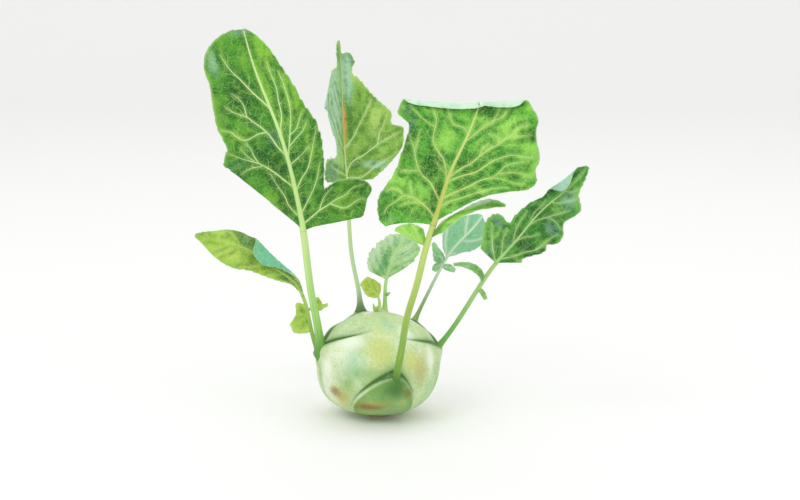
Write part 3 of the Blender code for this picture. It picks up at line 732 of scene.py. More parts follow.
BACK_TALL = LeafForm(
    name="back_tall",
    path=((-14, 20, 78), (-16, 32, 94), (-21, 44, 116), (-24, 54, 148), (-26, 62, 176), (-29, 74, 222),
          (-31, 84, 267), (-33, 88, 289)),
    stalk=110.0,
    facing=(0.45, -0.85, 0.2),
    left=((20, -2), (37, -3), (37, 13), (19, 18), (17, 30), (24, 39), (29, 54), (34, 59), (26, 74), (20, 88),
          (10, 93), (8, 105), (5, 113)),
    right=((22, 1), (38, 13), (48, 25), (55, 44), (42, 48), (41, 57), (32, 66), (22, 75), (15, 83), (9, 89),
           (12, 98), (7, 105), (2, 104)),
    fold=(42.0, 12.0),
    curl=(-2.0, -3.0),
    wave=(1.5, 26.0),
    radius=(1.8, 1.5),
    foot=5.5,
    ridge=Ridge(height=1.2, reach=(14.0, 14.0), drop=5.0),
    teeth=(1.2, 6.0),
    veins=(
        Vein(((0, 4), (3, 12), (8, 17), (16, 21), (23, 26), (29, 30), (39, 35), (51, 41))),
        Vein(((28, 29), (31, 38), (35, 46), (37, 54)), 0.6),
        Vein(((0, 27), (5, 32), (10, 39), (14, 47), (17, 52), (21, 60), (25, 67)), 0.8),
        Vein(((0, 3), (5, 3), (13, 3), (22, 9), (30, 14), (41, 20), (45, 24)), 0.7),
        Vein(((0, 24), (-10, 34), (-17, 47), (-24, 57), (-25, 65)), 0.6),
        Vein(((0, 40), (-3, 53), (-11, 65), (-15, 76)), 0.5),
        Vein(((0, 4), (-19, 7), (-30, 10)), 0.6),
    ),
    # The deep spots are painted shade and the bright ones painted light; the wide bloom on the left wing is waxy bloom
    # and also a painted sheen, seen at a grazing angle.
    washes=(
        *Spot.of(Tone.DEEP, (6, 51, 2.5, 26, 0.9), (9, 14, 8, 5), (20, 23, 12, 3, 0.8), (33, 43, 2, 12, 0.5),
                 (14, 70, 3, 14, 0.5)),
        *Spot.of(Tone.BRIGHT, (28, 50, 9, 16, 0.8), (42, 36, 12, 6, 0.5), (-13, 78, 4, 16, 0.5)),
        *Spot.of(Tone.BLOOM, (30, 13, 16, 4), (4, 85, 6, 22), (-24, 60, 21, 55)),
        *Spot.of(Tone.TINT, (10, 100, 6, 9, 0.9), (-7, 106, 4, 10, 0.9), (-26, 6, 12, 9)),
        *Spot.of(Tone.RUST, (1, 48, 2.2, 16)),
    ),
    rust=(46.0, 17.0),
    blade_finish=BladeFinish(deep=shade(66, 124, 36), middle=shade(126, 178, 62), bright=shade(178, 212, 108),
                             vein=shade(206, 228, 160), bloom=shade(172, 214, 190)),
    stalk_finish=StalkFinish(foot=shade(88, 118, 60), stem=shade(186, 218, 176), rib=shade(206, 224, 150),
                             streak=shade(140, 186, 120), rust=shade(226, 150, 76)),
)

FRONT_LOBE = leaflet(
    "front_lobe", 133.0,
    path=((0, 0, 0), (10, -1, 11), (19, -1, 18), (32, 0, 22), (44, 1, 25), (56, 2, 24)),
    left=((2, 15.5), (1, 28.5), (4.5, 42), (4.5, 54.5)),
    right=((8.5, 12), (7.5, 26.5), (3.5, 40), (4.5, 54)),
    facing=(-0.1, -0.9, 0.35),
    fold=(35.0, 35.0),
    radius=(0.9, 0.7),
    # The deep spots are painted shade where the blade dips; the bright spots are painted light.
    washes=(
        *Spot.of(Tone.BLOOM, (-4, 36, 3, 22)),
        *Spot.of(Tone.BRIGHT, (4, 34, 4, 26)),
        *Spot.of(Tone.DEEP, (0, 8, 6, 8, 0.6)),
    ),
)

FRONT_LOBE_LOW = leaflet(
    "front_lobe_low", 127.0,
    path=((0, 0, 0), (-11, -2, 8), (-23, -3, 13)),
    left=((2.5, 7.5), (2.5, 15.5), (1.5, 23.5)),
    right=((9.5, 10), (8.5, 18), (4, 24.5)),
    fold=(10.0, 20.0),
    # The bright spot is painted light.
    washes=Spot.of(Tone.BRIGHT, (3, 14, 10, 14)),
)

FRONT_TALL = LeafForm(
    name="front_tall",
    path=((13, -43, 35), (16, -56, 53), (19, -64, 71), (22, -72, 92), (29, -80, 118), (36, -87, 148),
          (45, -92, 178), (53, -95, 204), (64, -94, 228), (74, -91, 253), (77, -90, 263)),
    stalk=144.0,
    facing=(-0.05, -0.98, 0.15),
    left=((33, -12), (39, -9), (43, -1), (44, 11), (39, 26), (38, 40), (42, 60), (53, 65), (53, 79), (50, 86),
          (36, 92), (18, 99)),
    right=((50, 50), (58, 58), (59, 64), (55, 69), (55, 75), (49, 83), (45, 90), (44, 97), (37, 103.5),
           (32, 108), (24, 113), (13, 110)),
    bend=(1.8, 0.67),
    fold=(6.0, 8.0),
    curl=(-3.0, -3.0),
    wave=(1.8, 32.0),
    radius=(2.7, 2.3),
    foot=6.0,
    ridge=Ridge(height=2.6, reach=(38.0, 19.0), drop=26.0, power=1.8, rise=9.0),
    rolls=(Roll(start=(-51, 76.5), end=(41, 109), radius=2.4, angle=175.0),),
    leaflets=(FRONT_LOBE, FRONT_LOBE_LOW),
    rust=(22.0, 26.0),
    teeth=(0.9, 9.0),
    veins=(
        Vein(((0, 5), (-6, 10), (-9, 12), (-14, 14), (-20, 16),
              (-27, 15), (-31, 9), (-36, 2), (-37, -4))),
        Vein(((-27, 15), (-31, 18), (-36, 18), (-40, 15)), 0.6),
        Vein(((-20, 17), (-23, 21), (-25, 26)), 0.5),
        Vein(((-11, 14), (-17, 13), (-22, 11), (-27, 7)), 0.5),
        Vein(((0, 18), (-6, 25), (-11, 30), (-18, 33), (-23, 37),
              (-28, 43), (-31, 47), (-36, 51), (-40, 56))),
        Vein(((-30, 47), (-31, 52), (-33, 60)), 0.6),
        Vein(((-23, 35), (-29, 33), (-34, 31)), 0.5),
        Vein(((0, 33), (-3, 41), (-8, 48), (-13, 51), (-19, 55),
              (-22, 59), (-24, 68), (-26, 74), (-31, 80))),
        Vein(((-24, 67), (-31, 68), (-39, 71), (-46, 75)), 0.6),
        Vein(((-3, 40), (-8, 42), (-13, 45)), 0.5),
        Vein(((0, 71), (-4, 75), (-8, 75), (-13, 75), (-17, 79), (-21, 85)), 0.7),
        Vein(((0, 66), (5, 75), (9, 82), (14, 88), (19, 92), (21, 98)), 0.8),
        Vein(((11, 84), (14, 90), (15, 96)), 0.5),
        Vein(((0, 37), (7, 49), (11, 54), (14, 61), (18, 68),
              (23, 74), (26, 79), (29, 82), (32, 88), (38, 92))),
        Vein(((29, 82), (35, 84), (42, 87)), 0.6),
        Vein(((23, 74), (21, 78), (15, 78)), 0.5),
        Vein(((14, 61), (14, 67), (16, 71)), 0.5),
        Vein(((0, 34), (9, 43), (16, 49), (20, 55), (24, 62), (28, 66), (35, 71), (44, 73), (50, 75))),
        Vein(((0, 21), (8, 29), (16, 37), (22, 45), (29, 51), (38, 54), (46, 55), (52, 58))),
        Vein(((29, 51), (32, 57), (34, 63), (39, 67), (47, 71)), 0.7),
        Vein(((32, 56), (38, 60), (46, 63), (55, 64)), 0.6),
        Vein(((0, 14), (6, 21), (13, 26), (19, 31), (27, 38), (34, 44), (42, 49)), 0.8),
    ),
    # The deep spots are painted shade where the blade dips and under the roll; the bright spots are painted light.
    washes=(
        *Spot.of(Tone.DEEP, (-15, 41, 10, 12), (-5, 25, 5, 12), (-6, 14, 6, 9, 0.8), (-16, 5, 10, 5, 0.7),
                 (-36, 42, 4, 20, 0.8), (6, 92, 14, 5, 0.8), (2, 95, 20, 3, 0.8), (43, 86, 9, 4, 0.7),
                 (39, 60, 12, 4, 0.6), (11, 38, 8, 5, 0.7), (12, 32, 8, 4, 0.5), (6, 51, 5, 6, 0.6)),
        *Spot.of(Tone.TINT, (-49, 70, 7, 5), (-40, 61, 3, 12, 0.9), (-42, 16, 4, 9, 0.8), (52, 76, 4, 3, 0.8)),
        *Spot.of(Tone.BRIGHT, (-33, 24, 10, 9, 0.5), (-13, 62, 9, 14, 0.7), (-25, 80, 16, 8, 0.5),
                 (26, 85, 14, 12, 0.9), (42, 79, 9, 7, 0.6), (24, 38, 20, 4, 0.7), (13, 70, 9, 7, 0.6)),
        *Spot.of(Tone.BLOOM, (-31, -6, 5, 5, 0.3)),
    ),
    blade_finish=BladeFinish(deep=shade(26, 98, 26), middle=shade(82, 170, 50), bright=shade(154, 220, 88),
                             vein=shade(212, 236, 152), bloom=shade(205, 235, 210)),
    stalk_finish=StalkFinish(foot=shade(58, 106, 40), stem=shade(106, 164, 54), rib=shade(204, 222, 128),
                             streak=shade(150, 146, 62), rust=shade(188, 190, 84)),
)

RIGHT_CURL = leaflet(
    "right_curl", 66.0,
    path=((0, 0, 0), (0, -3, 8), (-4, -5, 14), (-12, -6, 17.5), (-21, -6, 17)),
    left=((4, 9), (5, 18), (4, 26)),
    right=((3, 9), (3, 18), (2, 26)),
    fold=(40.0, 30.0),
    washes=(
        *Spot.of(Tone.BLOOM, (0, 26, 6, 9)),
        *Spot.of(Tone.TINT, (2, 12, 4, 8, 0.6)),
    ),
)

RIGHT_TAIL = leaflet(
    "right_tail", 63.0,
    path=((0, 0, 0), (3, -3, -3), (5.5, -4, -8)),
    left=((2, 3), (2, 5), (2, 7)),
    right=((2, 3), (2, 5), (2, 7)),
)

RIGHT = LeafForm(
    name="right",
    path=((45, -5, 53), (57, -10, 70), (68, -14, 88), (78, -18, 105.5), (92, -23, 127), (107, -27, 145),
          (119, -30, 161), (133, -31, 175), (149, -30, 188), (160, -27, 201)),
    stalk=88.0,
    facing=(-0.3, -0.9, 0.3),
    left=((17, 2), (22, 11), (28, 21), (25, 33), (14, 32), (13, 41), (11, 53), (8, 65), (19, 78), (12, 92)),
    right=((16, 16), (15, 20), (24, 33), (22, 38), (28, 46), (27, 54), (20, 62), (21, 77), (9, 84), (5, 95)),
    fold=(28.0, 12.0),
    curl=(-2.0, -5.0),
    wave=(1.2, 24.0),
    radius=(2.0, 1.7),
    foot=4.5,
    ridge=Ridge(height=2.0, reach=(40.0, 30.0), drop=-12.5, power=0.6, rise=1.0),
    rolls=(Roll(start=(-9, 56), end=(-5, 102), radius=2.2, angle=165.0, fade=10.0),),
    leaflets=(RIGHT_CURL, RIGHT_TAIL),
    teeth=(1.5, 6.0),
    veins=(
        Vein(((0, 0), (-9, 7), (-16, 14), (-23, 22))),
        Vein(((0, 6), (-4, 12), (-9, 19), (-11, 27)), 0.8),
        Vein(((0, 20), (-5, 29), (-7, 38), (-8, 47)), 0.8),
        Vein(((0, 41), (-3, 49), (-3, 56), (-4, 62)), 0.7),
        Vein(((0, 4), (7, 14), (12, 23), (17, 29), (20, 35), (24, 42)), 0.9),
        Vein(((17, 29), (19, 36), (21, 45), (23, 51)), 0.6),
        Vein(((0, 23), (3, 30), (8, 35), (12, 41)), 0.7),
        Vein(((0, 39), (3, 47), (7, 54), (11, 62), (15, 71)), 0.9),
        Vein(((8, 55), (15, 57), (22, 56)), 0.6),
        Vein(((0, 64), (5, 69), (8, 74), (11, 80)), 0.7),
        Vein(((0, 78), (4, 81), (6, 85)), 0.5),
    ),
    # The deep spots are painted shade where the blade dips; the bright spots are painted light.
    washes=(
        *Spot.of(Tone.DEEP, (8, 27, 12, 7), (-1, 30, 7, 7, 0.7), (-9, 14, 3, 10, 0.8), (-3, 50, 5, 10, 0.6)),
        *Spot.of(Tone.TINT, (-3, 19, 4, 6, 0.6), (17, 51, 8, 5, 0.9), (-26, 27, 14, 5)),
        *Spot.of(Tone.BRIGHT, (8, 65, 9, 9, 0.6), (22, 39, 9, 5, 0.7), (-14, 18, 3, 18, 0.7),
                 (14, 15, 12, 4, 0.6), (-2, 91, 5, 9, 0.6)),
        *Spot.of(Tone.BLOOM, (8, 76, 9, 9, 0.7), (-10, 5, 4, 14, 0.5)),
    ),
    blade_finish=BladeFinish(deep=shade(24, 90, 34), middle=shade(70, 156, 58), bright=shade(136, 200, 86),
                             vein=shade(204, 232, 164), bloom=shade(168, 212, 186), tint=shade(104, 148, 134)),
    stalk_finish=StalkFinish(foot=shade(120, 160, 80), stem=shade(104, 172, 78), rib=shade(196, 226, 150),
                             streak=shade(76, 142, 62)),
)

BACK_RIGHT_LEFTWARD = leaflet(
    "back_right_leftward", 59.0,
    path=((0, 0, 0), (-4, -1, -1), (-7, -2, -5)),
    left=((3, 3), (3, 6), (2, 9)),
    right=((3, 3), (3, 6), (2, 9)),
    facing=(0.0, -0.8, 0.5),
)

BACK_RIGHT_RIGHTWARD = leaflet(
    "back_right_rightward", 57.0,
    path=((0, 0, 0), (5, -2, 0), (11, -3, -3)),
    left=((3, 4), (3, 8), (2, 11)),
    right=((3, 4), (3, 8), (2, 11)),
    facing=(0.0, -0.8, 0.5),
)

BACK_RIGHT_DROOP = leaflet(
    "back_right_droop", 61.0,
    path=((0, 0, 0), (-3, -5, 7), (-6, -8, 13), (-9, -9, 18)),
    left=((4, 3), (7, 9), (5, 15)),
    right=((3, 5), (3, 10), (2, 15)),
    facing=(0.0, -0.8, 0.5),
)

BACK_RIGHT = LeafForm(
    name="back_right",
    path=((28, 20, 70), (34, 31, 80), (40, 42, 90), (47, 51, 102), (57, 60, 118), (69, 70, 130), (80, 78, 140),
          (85, 83, 146)),
    stalk=66.0,
    facing=(-0.2, 0.9, 0.4),
    left=((9, 10), (16, 21), (25, 32), (25, 40), (24, 47), (12, 50)),
    right=((8, 4), (16, 12), (18, 19), (16, 29), (11, 39), (5, 47)),
    fold=(12.0, 14.0),
    curl=(3.0, 3.0),
    wave=(1.0, 22.0),
    radius=(1.5, 1.2),
    foot=4.0,
    ridge=Ridge(height=1.6, reach=(20.0, 20.0), drop=6.0),
    leaflets=(BACK_RIGHT_LEFTWARD, BACK_RIGHT_RIGHTWARD, BACK_RIGHT_DROOP),
    washes=(
        *Spot.of(Tone.TINT, (8, 38, 9, 10)),
        *Spot.of(Tone.BLOOM, (0, 18, 9, 12, 0.8)),
    ),
    blade_finish=BladeFinish(deep=shade(50, 130, 70), middle=shade(100, 176, 112), bright=shade(140, 200, 132),
                             vein=shade(214, 234, 204), bloom=shade(136, 196, 150)),
    stalk_finish=StalkFinish(foot=shade(120, 160, 80), stem=shade(106, 142, 54), rib=shade(210, 232, 206),
                             streak=shade(140, 172, 90)),
)

BACK_SMALL = LeafForm(
    name="back_small",
    path=((5, 27, 76), (5.2, 35, 88), (5.8, 41, 98.5), (8.5, 45, 108), (12.5, 49, 118), (18.5, 54, 129),
          (20.5, 57, 134.5)),
    stalk=29.0,
    facing=(-0.1, -0.9, 0.3),
    left=((15, 2.5), (18.5, 7.5), (19.5, 16.5), (17, 19.5), (17, 23.5), (14.5, 27.5), (11.5, 35), (5.5, 38.5)),
    right=((8.5, 8.5), (13.5, 15.5), (17, 23), (17, 26), (17.5, 31.5), (15, 34), (10.5, 36.5), (6.5, 38)),
    fold=(10.0, 10.0),
    wave=(3.2, 13.0),
    radius=(1.8, 1.3),
    foot=3.6,
    ridge=Ridge(height=0.9, reach=(9.0, 9.0), drop=4.0),
    teeth=(1.8, 4.2),
    # The deep spots are painted shade where the blade dips; the bright spots are painted light.
    washes=(
        *Spot.of(Tone.DEEP, (-6, 12, 4, 13)),
        *Spot.of(Tone.BLOOM, (-16, 18, 6, 14), (-10, 32, 8, 8)),
        *Spot.of(Tone.BRIGHT, (8, 26, 8, 14, 0.6)),
    ),
    blade_finish=BladeFinish(deep=shade(84, 160, 84), middle=shade(156, 212, 118), bright=shade(212, 234, 190),
                             vein=shade(216, 236, 192), bloom=shade(196, 228, 190)),
    stalk_finish=StalkFinish(foot=shade(170, 204, 120), stem=shade(150, 204, 110), rib=shade(196, 224, 160),
                             streak=shade(120, 180, 84)),
)

LEFT_LOW_LOBE = leaflet(
    "left_low_lobe", 33.0,
    path=((0, 0, 0), (-6, -2, -4), (-14, -4, -8)),
    left=((12, 6), (10.5, 10), (6, 16.5)),
    right=((9, -3), (13.5, 2), (6.5, 8)),
)

LEFT_LOW_LOBE_INNER = leaflet(
    "left_low_lobe_inner", 37.0,
    path=((0, 0, 0), (8, 5, 3), (16, 8, 3)),
    left=((2, 6), (6.5, 11.5), (0.5, 14.5)),
    right=((3, 5), (5, 11), (3, 15)),
)

LEFT_LOW = LeafForm(
    name="left_low",
    path=((-47, 8, 48), (-51, 15, 56), (-56, 24, 75), (-60, 30, 88), (-66, 34, 98), (-87, 38, 113),
          (-102, 42, 123), (-116, 45, 129), (-131, 48, 132), (-148, 51, 135)),
    stalk=49.0,
    facing=(0.1, -0.9, 0.4),
    left=((3, 14), (7, 24), (10, 37), (14, 50), (18, 60), (18, 74), (14, 85), (8, 94), (4, 100)),
    right=((10, 19), (16, 30), (23, 38), (23, 50), (12, 59), (11, 70), (10, 79), (7, 89), (4, 99)),
    fold=(-8.0, 18.0),
    curl=(-3.0, 0.0),
    wave=(0.8, 24.0),
    radius=(1.7, 1.4),
    foot=4.0,
    ridge=Ridge(height=2.0, reach=(24.0, 24.0), drop=9.0),
    rolls=(Roll(start=(9.3, 60), end=(0.8, 8), radius=2.6, angle=165.0),),
    leaflets=(LEFT_LOW_LOBE, LEFT_LOW_LOBE_INNER),
    teeth=(0.9, 6.0),
    # The deep spots are painted shade where the blade dips; the bright spots are painted light.
    washes=(
        *Spot.of(Tone.TINT, (9, 64, 9, 9), (-1, 20, 5, 12, 0.8)),
        *Spot.of(Tone.BRIGHT, (-9, 72, 9, 20, 0.7)),
        *Spot.of(Tone.DEEP, (-5, 54, 6, 12, 0.5)),
        *Spot.of(Tone.BLOOM, (9, 86, 3, 10, 0.8)),
    ),
    blade_finish=BladeFinish(deep=shade(100, 136, 44), middle=shade(142, 192, 66), bright=shade(188, 218, 98),
                             vein=shade(196, 216, 116), bloom=shade(112, 188, 150)),
    stalk_finish=StalkFinish(foot=shade(120, 150, 70), stem=shade(120, 168, 72), rib=shade(176, 206, 104),
                             streak=shade(150, 140, 70)),
)

YOUNG = LeafForm(
    name="young",
    path=((1, 13, 81), (1, 15, 87), (-1, 17, 93), (-7, 18, 98), (-14, 18, 102)),
    stalk=11.0,
    facing=(0.1, -0.95, 0.2),
    left=((3.5, 0), (6.5, 7), (5, 12.5), (2.5, 16)),
    right=((5, 3), (8, 5.5), (8, 11.5), (7, 16)),
    fold=(15.0, 15.0),
    wave=(0.8, 9.0),
    radius=(1.1, 0.9),
    foot=2.6,
    ridge=Ridge(height=0.5, reach=(6.0, 6.0), drop=3.0),
    quilt=0.3,
    blade_finish=BladeFinish(deep=shade(110, 150, 44), middle=shade(158, 192, 66), bright=shade(196, 216, 92),
                             vein=shade(214, 228, 140), bloom=shade(196, 220, 150)),
    stalk_finish=StalkFinish(foot=shade(186, 208, 130), stem=shade(160, 196, 96), rib=shade(196, 216, 120),
                             streak=shade(130, 170, 70)),
)

LEAVES = (LEFT_TALL, BACK_TALL, FRONT_TALL, RIGHT, BACK_RIGHT, BACK_SMALL, LEFT_LOW, YOUNG)


# Curves and surfaces.


class Path:
    """A smooth curve, a natural cubic spline, through given points and measured by its own length."""

    samples: int = 400

    def __init__(self, points: np.ndarray) -> None:
        knots = np.asarray(points, dtype=float)
        chords = np.linalg.norm(np.diff(knots, axis=0), axis=1)
        at = np.concatenate(([0.0], np.cumsum(chords)))
        count = len(knots)
        matrix = np.eye(count)
        right_side = np.zeros((count, 3))
        for i in range(1, count - 1):
            before, after = chords[i - 1], chords[i]
            matrix[i, i - 1:i + 2] = before, 2.0 * (before + after), after
            right_side[i] = 6.0 * ((knots[i + 1] - knots[i]) / after - (knots[i] - knots[i - 1]) / before)
        bends = np.linalg.solve(matrix, right_side)
        t = np.linspace(0.0, at[-1], self.samples)
        span = np.clip(np.searchsorted(at, t, side="right") - 1, 0, count - 2)
        h = chords[span][:, None]
        a = (at[span + 1] - t)[:, None] / h
        b = 1.0 - a
        self.points = (a * knots[span] + b * knots[span + 1]
                       + ((a ** 3 - a) * bends[span] + (b ** 3 - b) * bends[span + 1]) * h ** 2 / 6.0)
        steps = np.linalg.norm(np.diff(self.points, axis=0), axis=1)
        self.lengths = np.concatenate(([0.0], np.cumsum(steps)))
        self.tangents = unit(np.gradient(self.points, self.lengths, axis=0))
        self.length = float(self.lengths[-1])

    def read(self, table: np.ndarray, s: np.ndarray) -> np.ndarray:
        """Read a table of vectors along the curve at lengths s."""
        return np.stack([np.interp(s, self.lengths, table[:, i]) for i in range(3)], axis=-1)

    def at(self, s: np.ndarray | float) -> np.ndarray:
        """Points at lengths s; past either end the curve runs on straight."""
        s = np.asarray(s, dtype=float)
        spare = s - np.clip(s, 0.0, self.length)
        return self.read(self.points, s) + spare[..., None] * self.tangent(s)

    def tangent(self, s: np.ndarray | float) -> np.ndarray:
        """Directions of the curve at lengths s."""
        return unit(self.read(self.tangents, np.asarray(s, dtype=float)))


def rounded(corners: np.ndarray, steps: int) -> np.ndarray:
    """Round a line through corners.

    Args:
        corners: The points that it passes.
        steps: Samples between two corners.

    Returns:
        Points of a cubic that runs at each corner in line with its two neighbours.
    """
    slopes = np.gradient(corners, axis=0)
    fine = np.linspace(0.0, len(corners) - 1.0, (len(corners) - 1) * steps + 1)
    span = np.minimum(fine.astype(int), len(corners) - 2)
    t = (fine - span)[:, None]
    ends = corners[span] * (2 * t ** 3 - 3 * t ** 2 + 1) + corners[span + 1] * (3 * t ** 2 - 2 * t ** 3)
    return ends + slopes[span] * (t ** 3 - 2 * t ** 2 + t) + slopes[span + 1] * (t ** 3 - t ** 2)


class Wing(Enum):
    """The two halves of a blade, by their place in a leaf's pairs of values."""

    LEFT = 0
    RIGHT = 1

    @property
    def sign(self) -> float:
        """Minus one on the left and one on the right."""
        return -1.0 if self is Wing.LEFT else 1.0


@dataclass
class Lamina:
    """The thin sheet of a blade: flat coordinates placed on the folded, curled, waved and rolled leaf."""

    form: LeafForm
    origin: np.ndarray
    half_thickness: float = 0.28
    edge_thickness: float = 0.16
    row_steps: int = 12
    columns: int = 44
    tip_half_width: float = 1.5
    vein_slope: float = 0.35
    fan_step: float = 1.2
    pucker: float = 0.22
    swell_width: float = 3.2
    halo_width: float = 1.3
    edge_width: float = 1.3
    margin_width: float = 7.0

    def __post_init__(self) -> None:
        self.path = Path(np.array(self.form.path, dtype=float) + self.origin)
        self.length = self.path.length - self.form.stalk
        rise = unit(self.path.at(self.path.length) - self.path.at(self.form.stalk))
        self.across = unit(np.cross(rise, np.array(self.form.facing)))
        self.random = np.random.default_rng(SEED + len(self.form.name) * 7 + int(self.form.attach))
        self.outlines = [self.outline(wing) for wing in Wing]
        self.border = np.vstack([self.outlines[0][::-1] * (-1.0, 1.0), np.zeros((1, 2)), self.outlines[1]])
        self.veins = self.form.veins or self.ruled_veins()
        self.vein_lines = [self.trimmed(vein.line()) for vein in self.veins]
        self.guides = np.vstack(self.vein_lines + [np.stack([np.zeros(60), np.linspace(0, self.length, 60)], -1)])

    def outline(self, wing: Wing) -> np.ndarray:
        """Cut small teeth into a wing's outline.

        Args:
            wing: Which half.

        Returns:
            Points (out, along) with out positive: the rounded outline, moved along its own outward normal by a
            saw over its length, which fades at both ends.
        """
        corners = (self.form.left, self.form.right)[wing.value] + ((self.tip_half_width, self.length),)
        line = rounded(np.array(corners, dtype=float), self.row_steps)
        steps = np.linalg.norm(np.diff(line, axis=0), axis=1)
        run = np.concatenate(([0.0], np.cumsum(steps)))
        tangent = unit(np.gradient(line, axis=0))
        depth, pitch = self.form.teeth
        beat = run / pitch + 0.55 * np.sin(run / (2.7 * pitch) + wing.value) + wing.value * 0.4
        saw = (beat % 1.0) ** 0.7 - 0.6
        swell = 0.6 + 0.4 * np.sin(run / (3.4 * pitch) + 2.0 * wing.value)
        ends = smooth(run / 6.0) * smooth((run[-1] - run) / 6.0)
        outward = np.stack([tangent[:, 1], -tangent[:, 0]], axis=-1)
        line = line + outward * (depth * saw * swell * ends)[:, None]
        line[:, 0] = np.maximum(line[:, 0], 0.7)
        return line

    def ruled_veins(self) -> tuple[Vein, ...]:
        """Run a vein from the rib towards every other corner of the outlines.

        Returns:
            The veins, each leaving the rib lower than its corner by about the corner's distance.
        """
        veins = []
        for wing in Wing:
            corners = (self.form.left, self.form.right)[wing.value]
            for out, along in corners[::2] if len(corners) > 5 else corners:
                root = max(0.0, along - 1.05 * out - 2.0)
                rise = along - root
                veins.append(Vein(((0.0, root), (wing.sign * 0.5 * out, root + 0.42 * rise),
                                   (wing.sign * 0.9 * out, root + 0.9 * rise)), 0.8))
        return tuple(veins)

    def inside(self, line: np.ndarray, margin: float) -> np.ndarray:
        """Tell which points of a line are within the border and not near it.

        Args:
            line: Points (out, along).
            margin: The least distance from the border.

        Returns:
            A truth value for each, by the number of borders that a ray across crosses.
        """
        first, second = self.border, np.roll(self.border, -1, axis=0)
        level = line[:, None, 1]
        spans = (first[None, :, 1] > level) != (second[None, :, 1] > level)
        rise = np.where(second[:, 1] == first[:, 1], 1e-9, second[:, 1] - first[:, 1])
        at = first[None, :, 0] + (level - first[None, :, 1]) / rise * (second[:, 0] - first[:, 0])[None]
        within = np.sum(spans & (line[:, None, 0] < at), axis=1) % 2 == 1
        clear = np.min(np.linalg.norm(line[:, None] - self.border[None], axis=-1), axis=1) > margin
        return within & clear

    def trimmed(self, line: np.ndarray, margin: float = 1.4) -> np.ndarray:
        """Cut a vein short where it would leave the blade."""
        fine = self.inside(line, margin) | (np.linalg.norm(line - line[0], axis=1) < 0.05 * self.length)
        stop = len(line) if fine.all() else max(3, int(np.argmin(fine)))
        return line[:stop]

    def frame(self, s: np.ndarray) -> tuple[np.ndarray, np.ndarray, np.ndarray]:
        """Along, across and facing directions at lengths s."""
        along = self.path.tangent(s)
        across = unit(self.across - np.sum(self.across * along, axis=-1, keepdims=True) * along)
        return along, across, np.cross(across, along)

    def sheet(self, along: np.ndarray, out: np.ndarray) -> tuple[np.ndarray, np.ndarray, np.ndarray, np.ndarray]:
        """Place the sheet before any roll.

        Args:
            along: Lengths up the rib.
            out: Distances across from the rib.

        Returns:
            Points, and the forward, spread and normal directions there. A strip that starts at the fold angle
            and curls at a steady rate reaches across by the difference of the sines of its end angles over the
            rate, and up by the difference of their cosines over the rate; a wave grows with the square of out.
        """
        form = self.form
        s = form.stalk + along
        forward, across, facing = self.frame(s)
        side = np.sign(out)
        start = np.radians(np.where(out < 0, form.fold[0], form.fold[1]))
        rate = np.radians(np.where(out < 0, form.curl[0], form.curl[1])) / 10.0
        rate = np.where(np.abs(rate) < 1e-6, 1e-6, rate)
        width = np.abs(out)
        slope = start + rate * width
        reach = (np.sin(slope) - np.sin(start)) / rate
        rise = (np.cos(start) - np.cos(slope)) / rate
        height, wavelength = form.wave
        rise = rise + height * (width / 35.0) ** 2 * np.sin(2.0 * np.pi * along / wavelength + side)
        point = self.path.at(s) + across * (side * reach)[..., None] + facing * rise[..., None]
        spread = across * np.cos(slope)[..., None] + facing * (side * np.sin(slope))[..., None]
        normal = facing * np.cos(slope)[..., None] - across * (side * np.sin(slope))[..., None]
        return point, forward, spread, normal

    def place(self, along: np.ndarray, out: np.ndarray) -> np.ndarray:
        """Place flat coordinates on the leaf.

        Args:
            along: Lengths up the rib.
            out: Distances across from the rib.

        Returns:
            Points. Past a roll line the sheet bends round a radius up to the roll's angle and goes on straight.
        """
        point = self.sheet(along, out)[0]
        for roll in self.form.rolls:
            beyond = np.array([-roll.line[1], roll.line[0]])
            past, run = roll.beyond(along, out)
            past = np.maximum(past, 0.0) * (smooth(run / roll.fade) if roll.fade else 1.0)
            hinge, forward, spread, normal = self.sheet(along - past * beyond[1], out - past * beyond[0])
            turn = np.minimum(past / roll.radius, np.radians(roll.angle))
            flap = past - turn * roll.radius
            forth = roll.radius * np.sin(turn) + flap * np.cos(turn)
            lift = roll.radius * (1.0 - np.cos(turn)) + flap * np.sin(turn)
            heading = unit(spread * beyond[0] + forward * beyond[1])
            rolled = hinge + heading * forth[..., None] + normal * lift[..., None]
            point = np.where((past > 0.0)[..., None], rolled, point)
        return point

    def normal(self, along: np.ndarray, out: np.ndarray, step: float = 0.2) -> np.ndarray:
        """The sheet's normal, from the points a small step away on either side."""
        across = self.place(along, out + step) - self.place(along, out - step)
        upward = self.place(along + step, out) - self.place(along - step, out)
        return unit(np.cross(across, upward))

    def from_vein(self, along: np.ndarray, out: np.ndarray) -> np.ndarray:
        """Distance of flat points from the nearest side vein or the rib."""
        flat = np.stack([out.ravel(), along.ravel()], axis=-1)
        nearest = [np.min(np.linalg.norm(part[:, None] - self.guides[None], axis=-1), axis=1)
                   for part in np.array_split(flat, max(1, len(flat) // 2000))]
        return np.concatenate(nearest).reshape(out.shape)

    def relief(self, along: np.ndarray, out: np.ndarray) -> np.ndarray:
        """How far the sheet swells between its veins.

        Args:
            along: Lengths up the rib.
            out: Distances across from the rib.

        Returns:
            Heights: one less a bell of the distance from the veins, times the quilt, with a fine pucker of two
            crossed sines.
        """
        swell = self.form.quilt * (1.0 - hill(self.from_vein(along, out), self.swell_width))
        fine = self.pucker * np.sin(0.9 * out + 0.4 * along) * np.sin(0.8 * along - 0.3 * out + 1.0)
        return swell * (1.0 + fine)

    def skin(self, along: np.ndarray, out: np.ndarray) -> tuple[np.ndarray, np.ndarray]:
        """Points of the swollen sheet and the normals there."""
        normal = self.normal(along, out)
        return self.place(along, out) + normal * self.relief(along, out)[..., None], normal

    def rib_radius(self, along: np.ndarray) -> np.ndarray:
        """Half width of the midrib, which tapers by three quarters to the tip."""
        return self.form.radius[1] * (1.0 - 0.75 * np.clip(along / self.length, 0.0, 1.0))

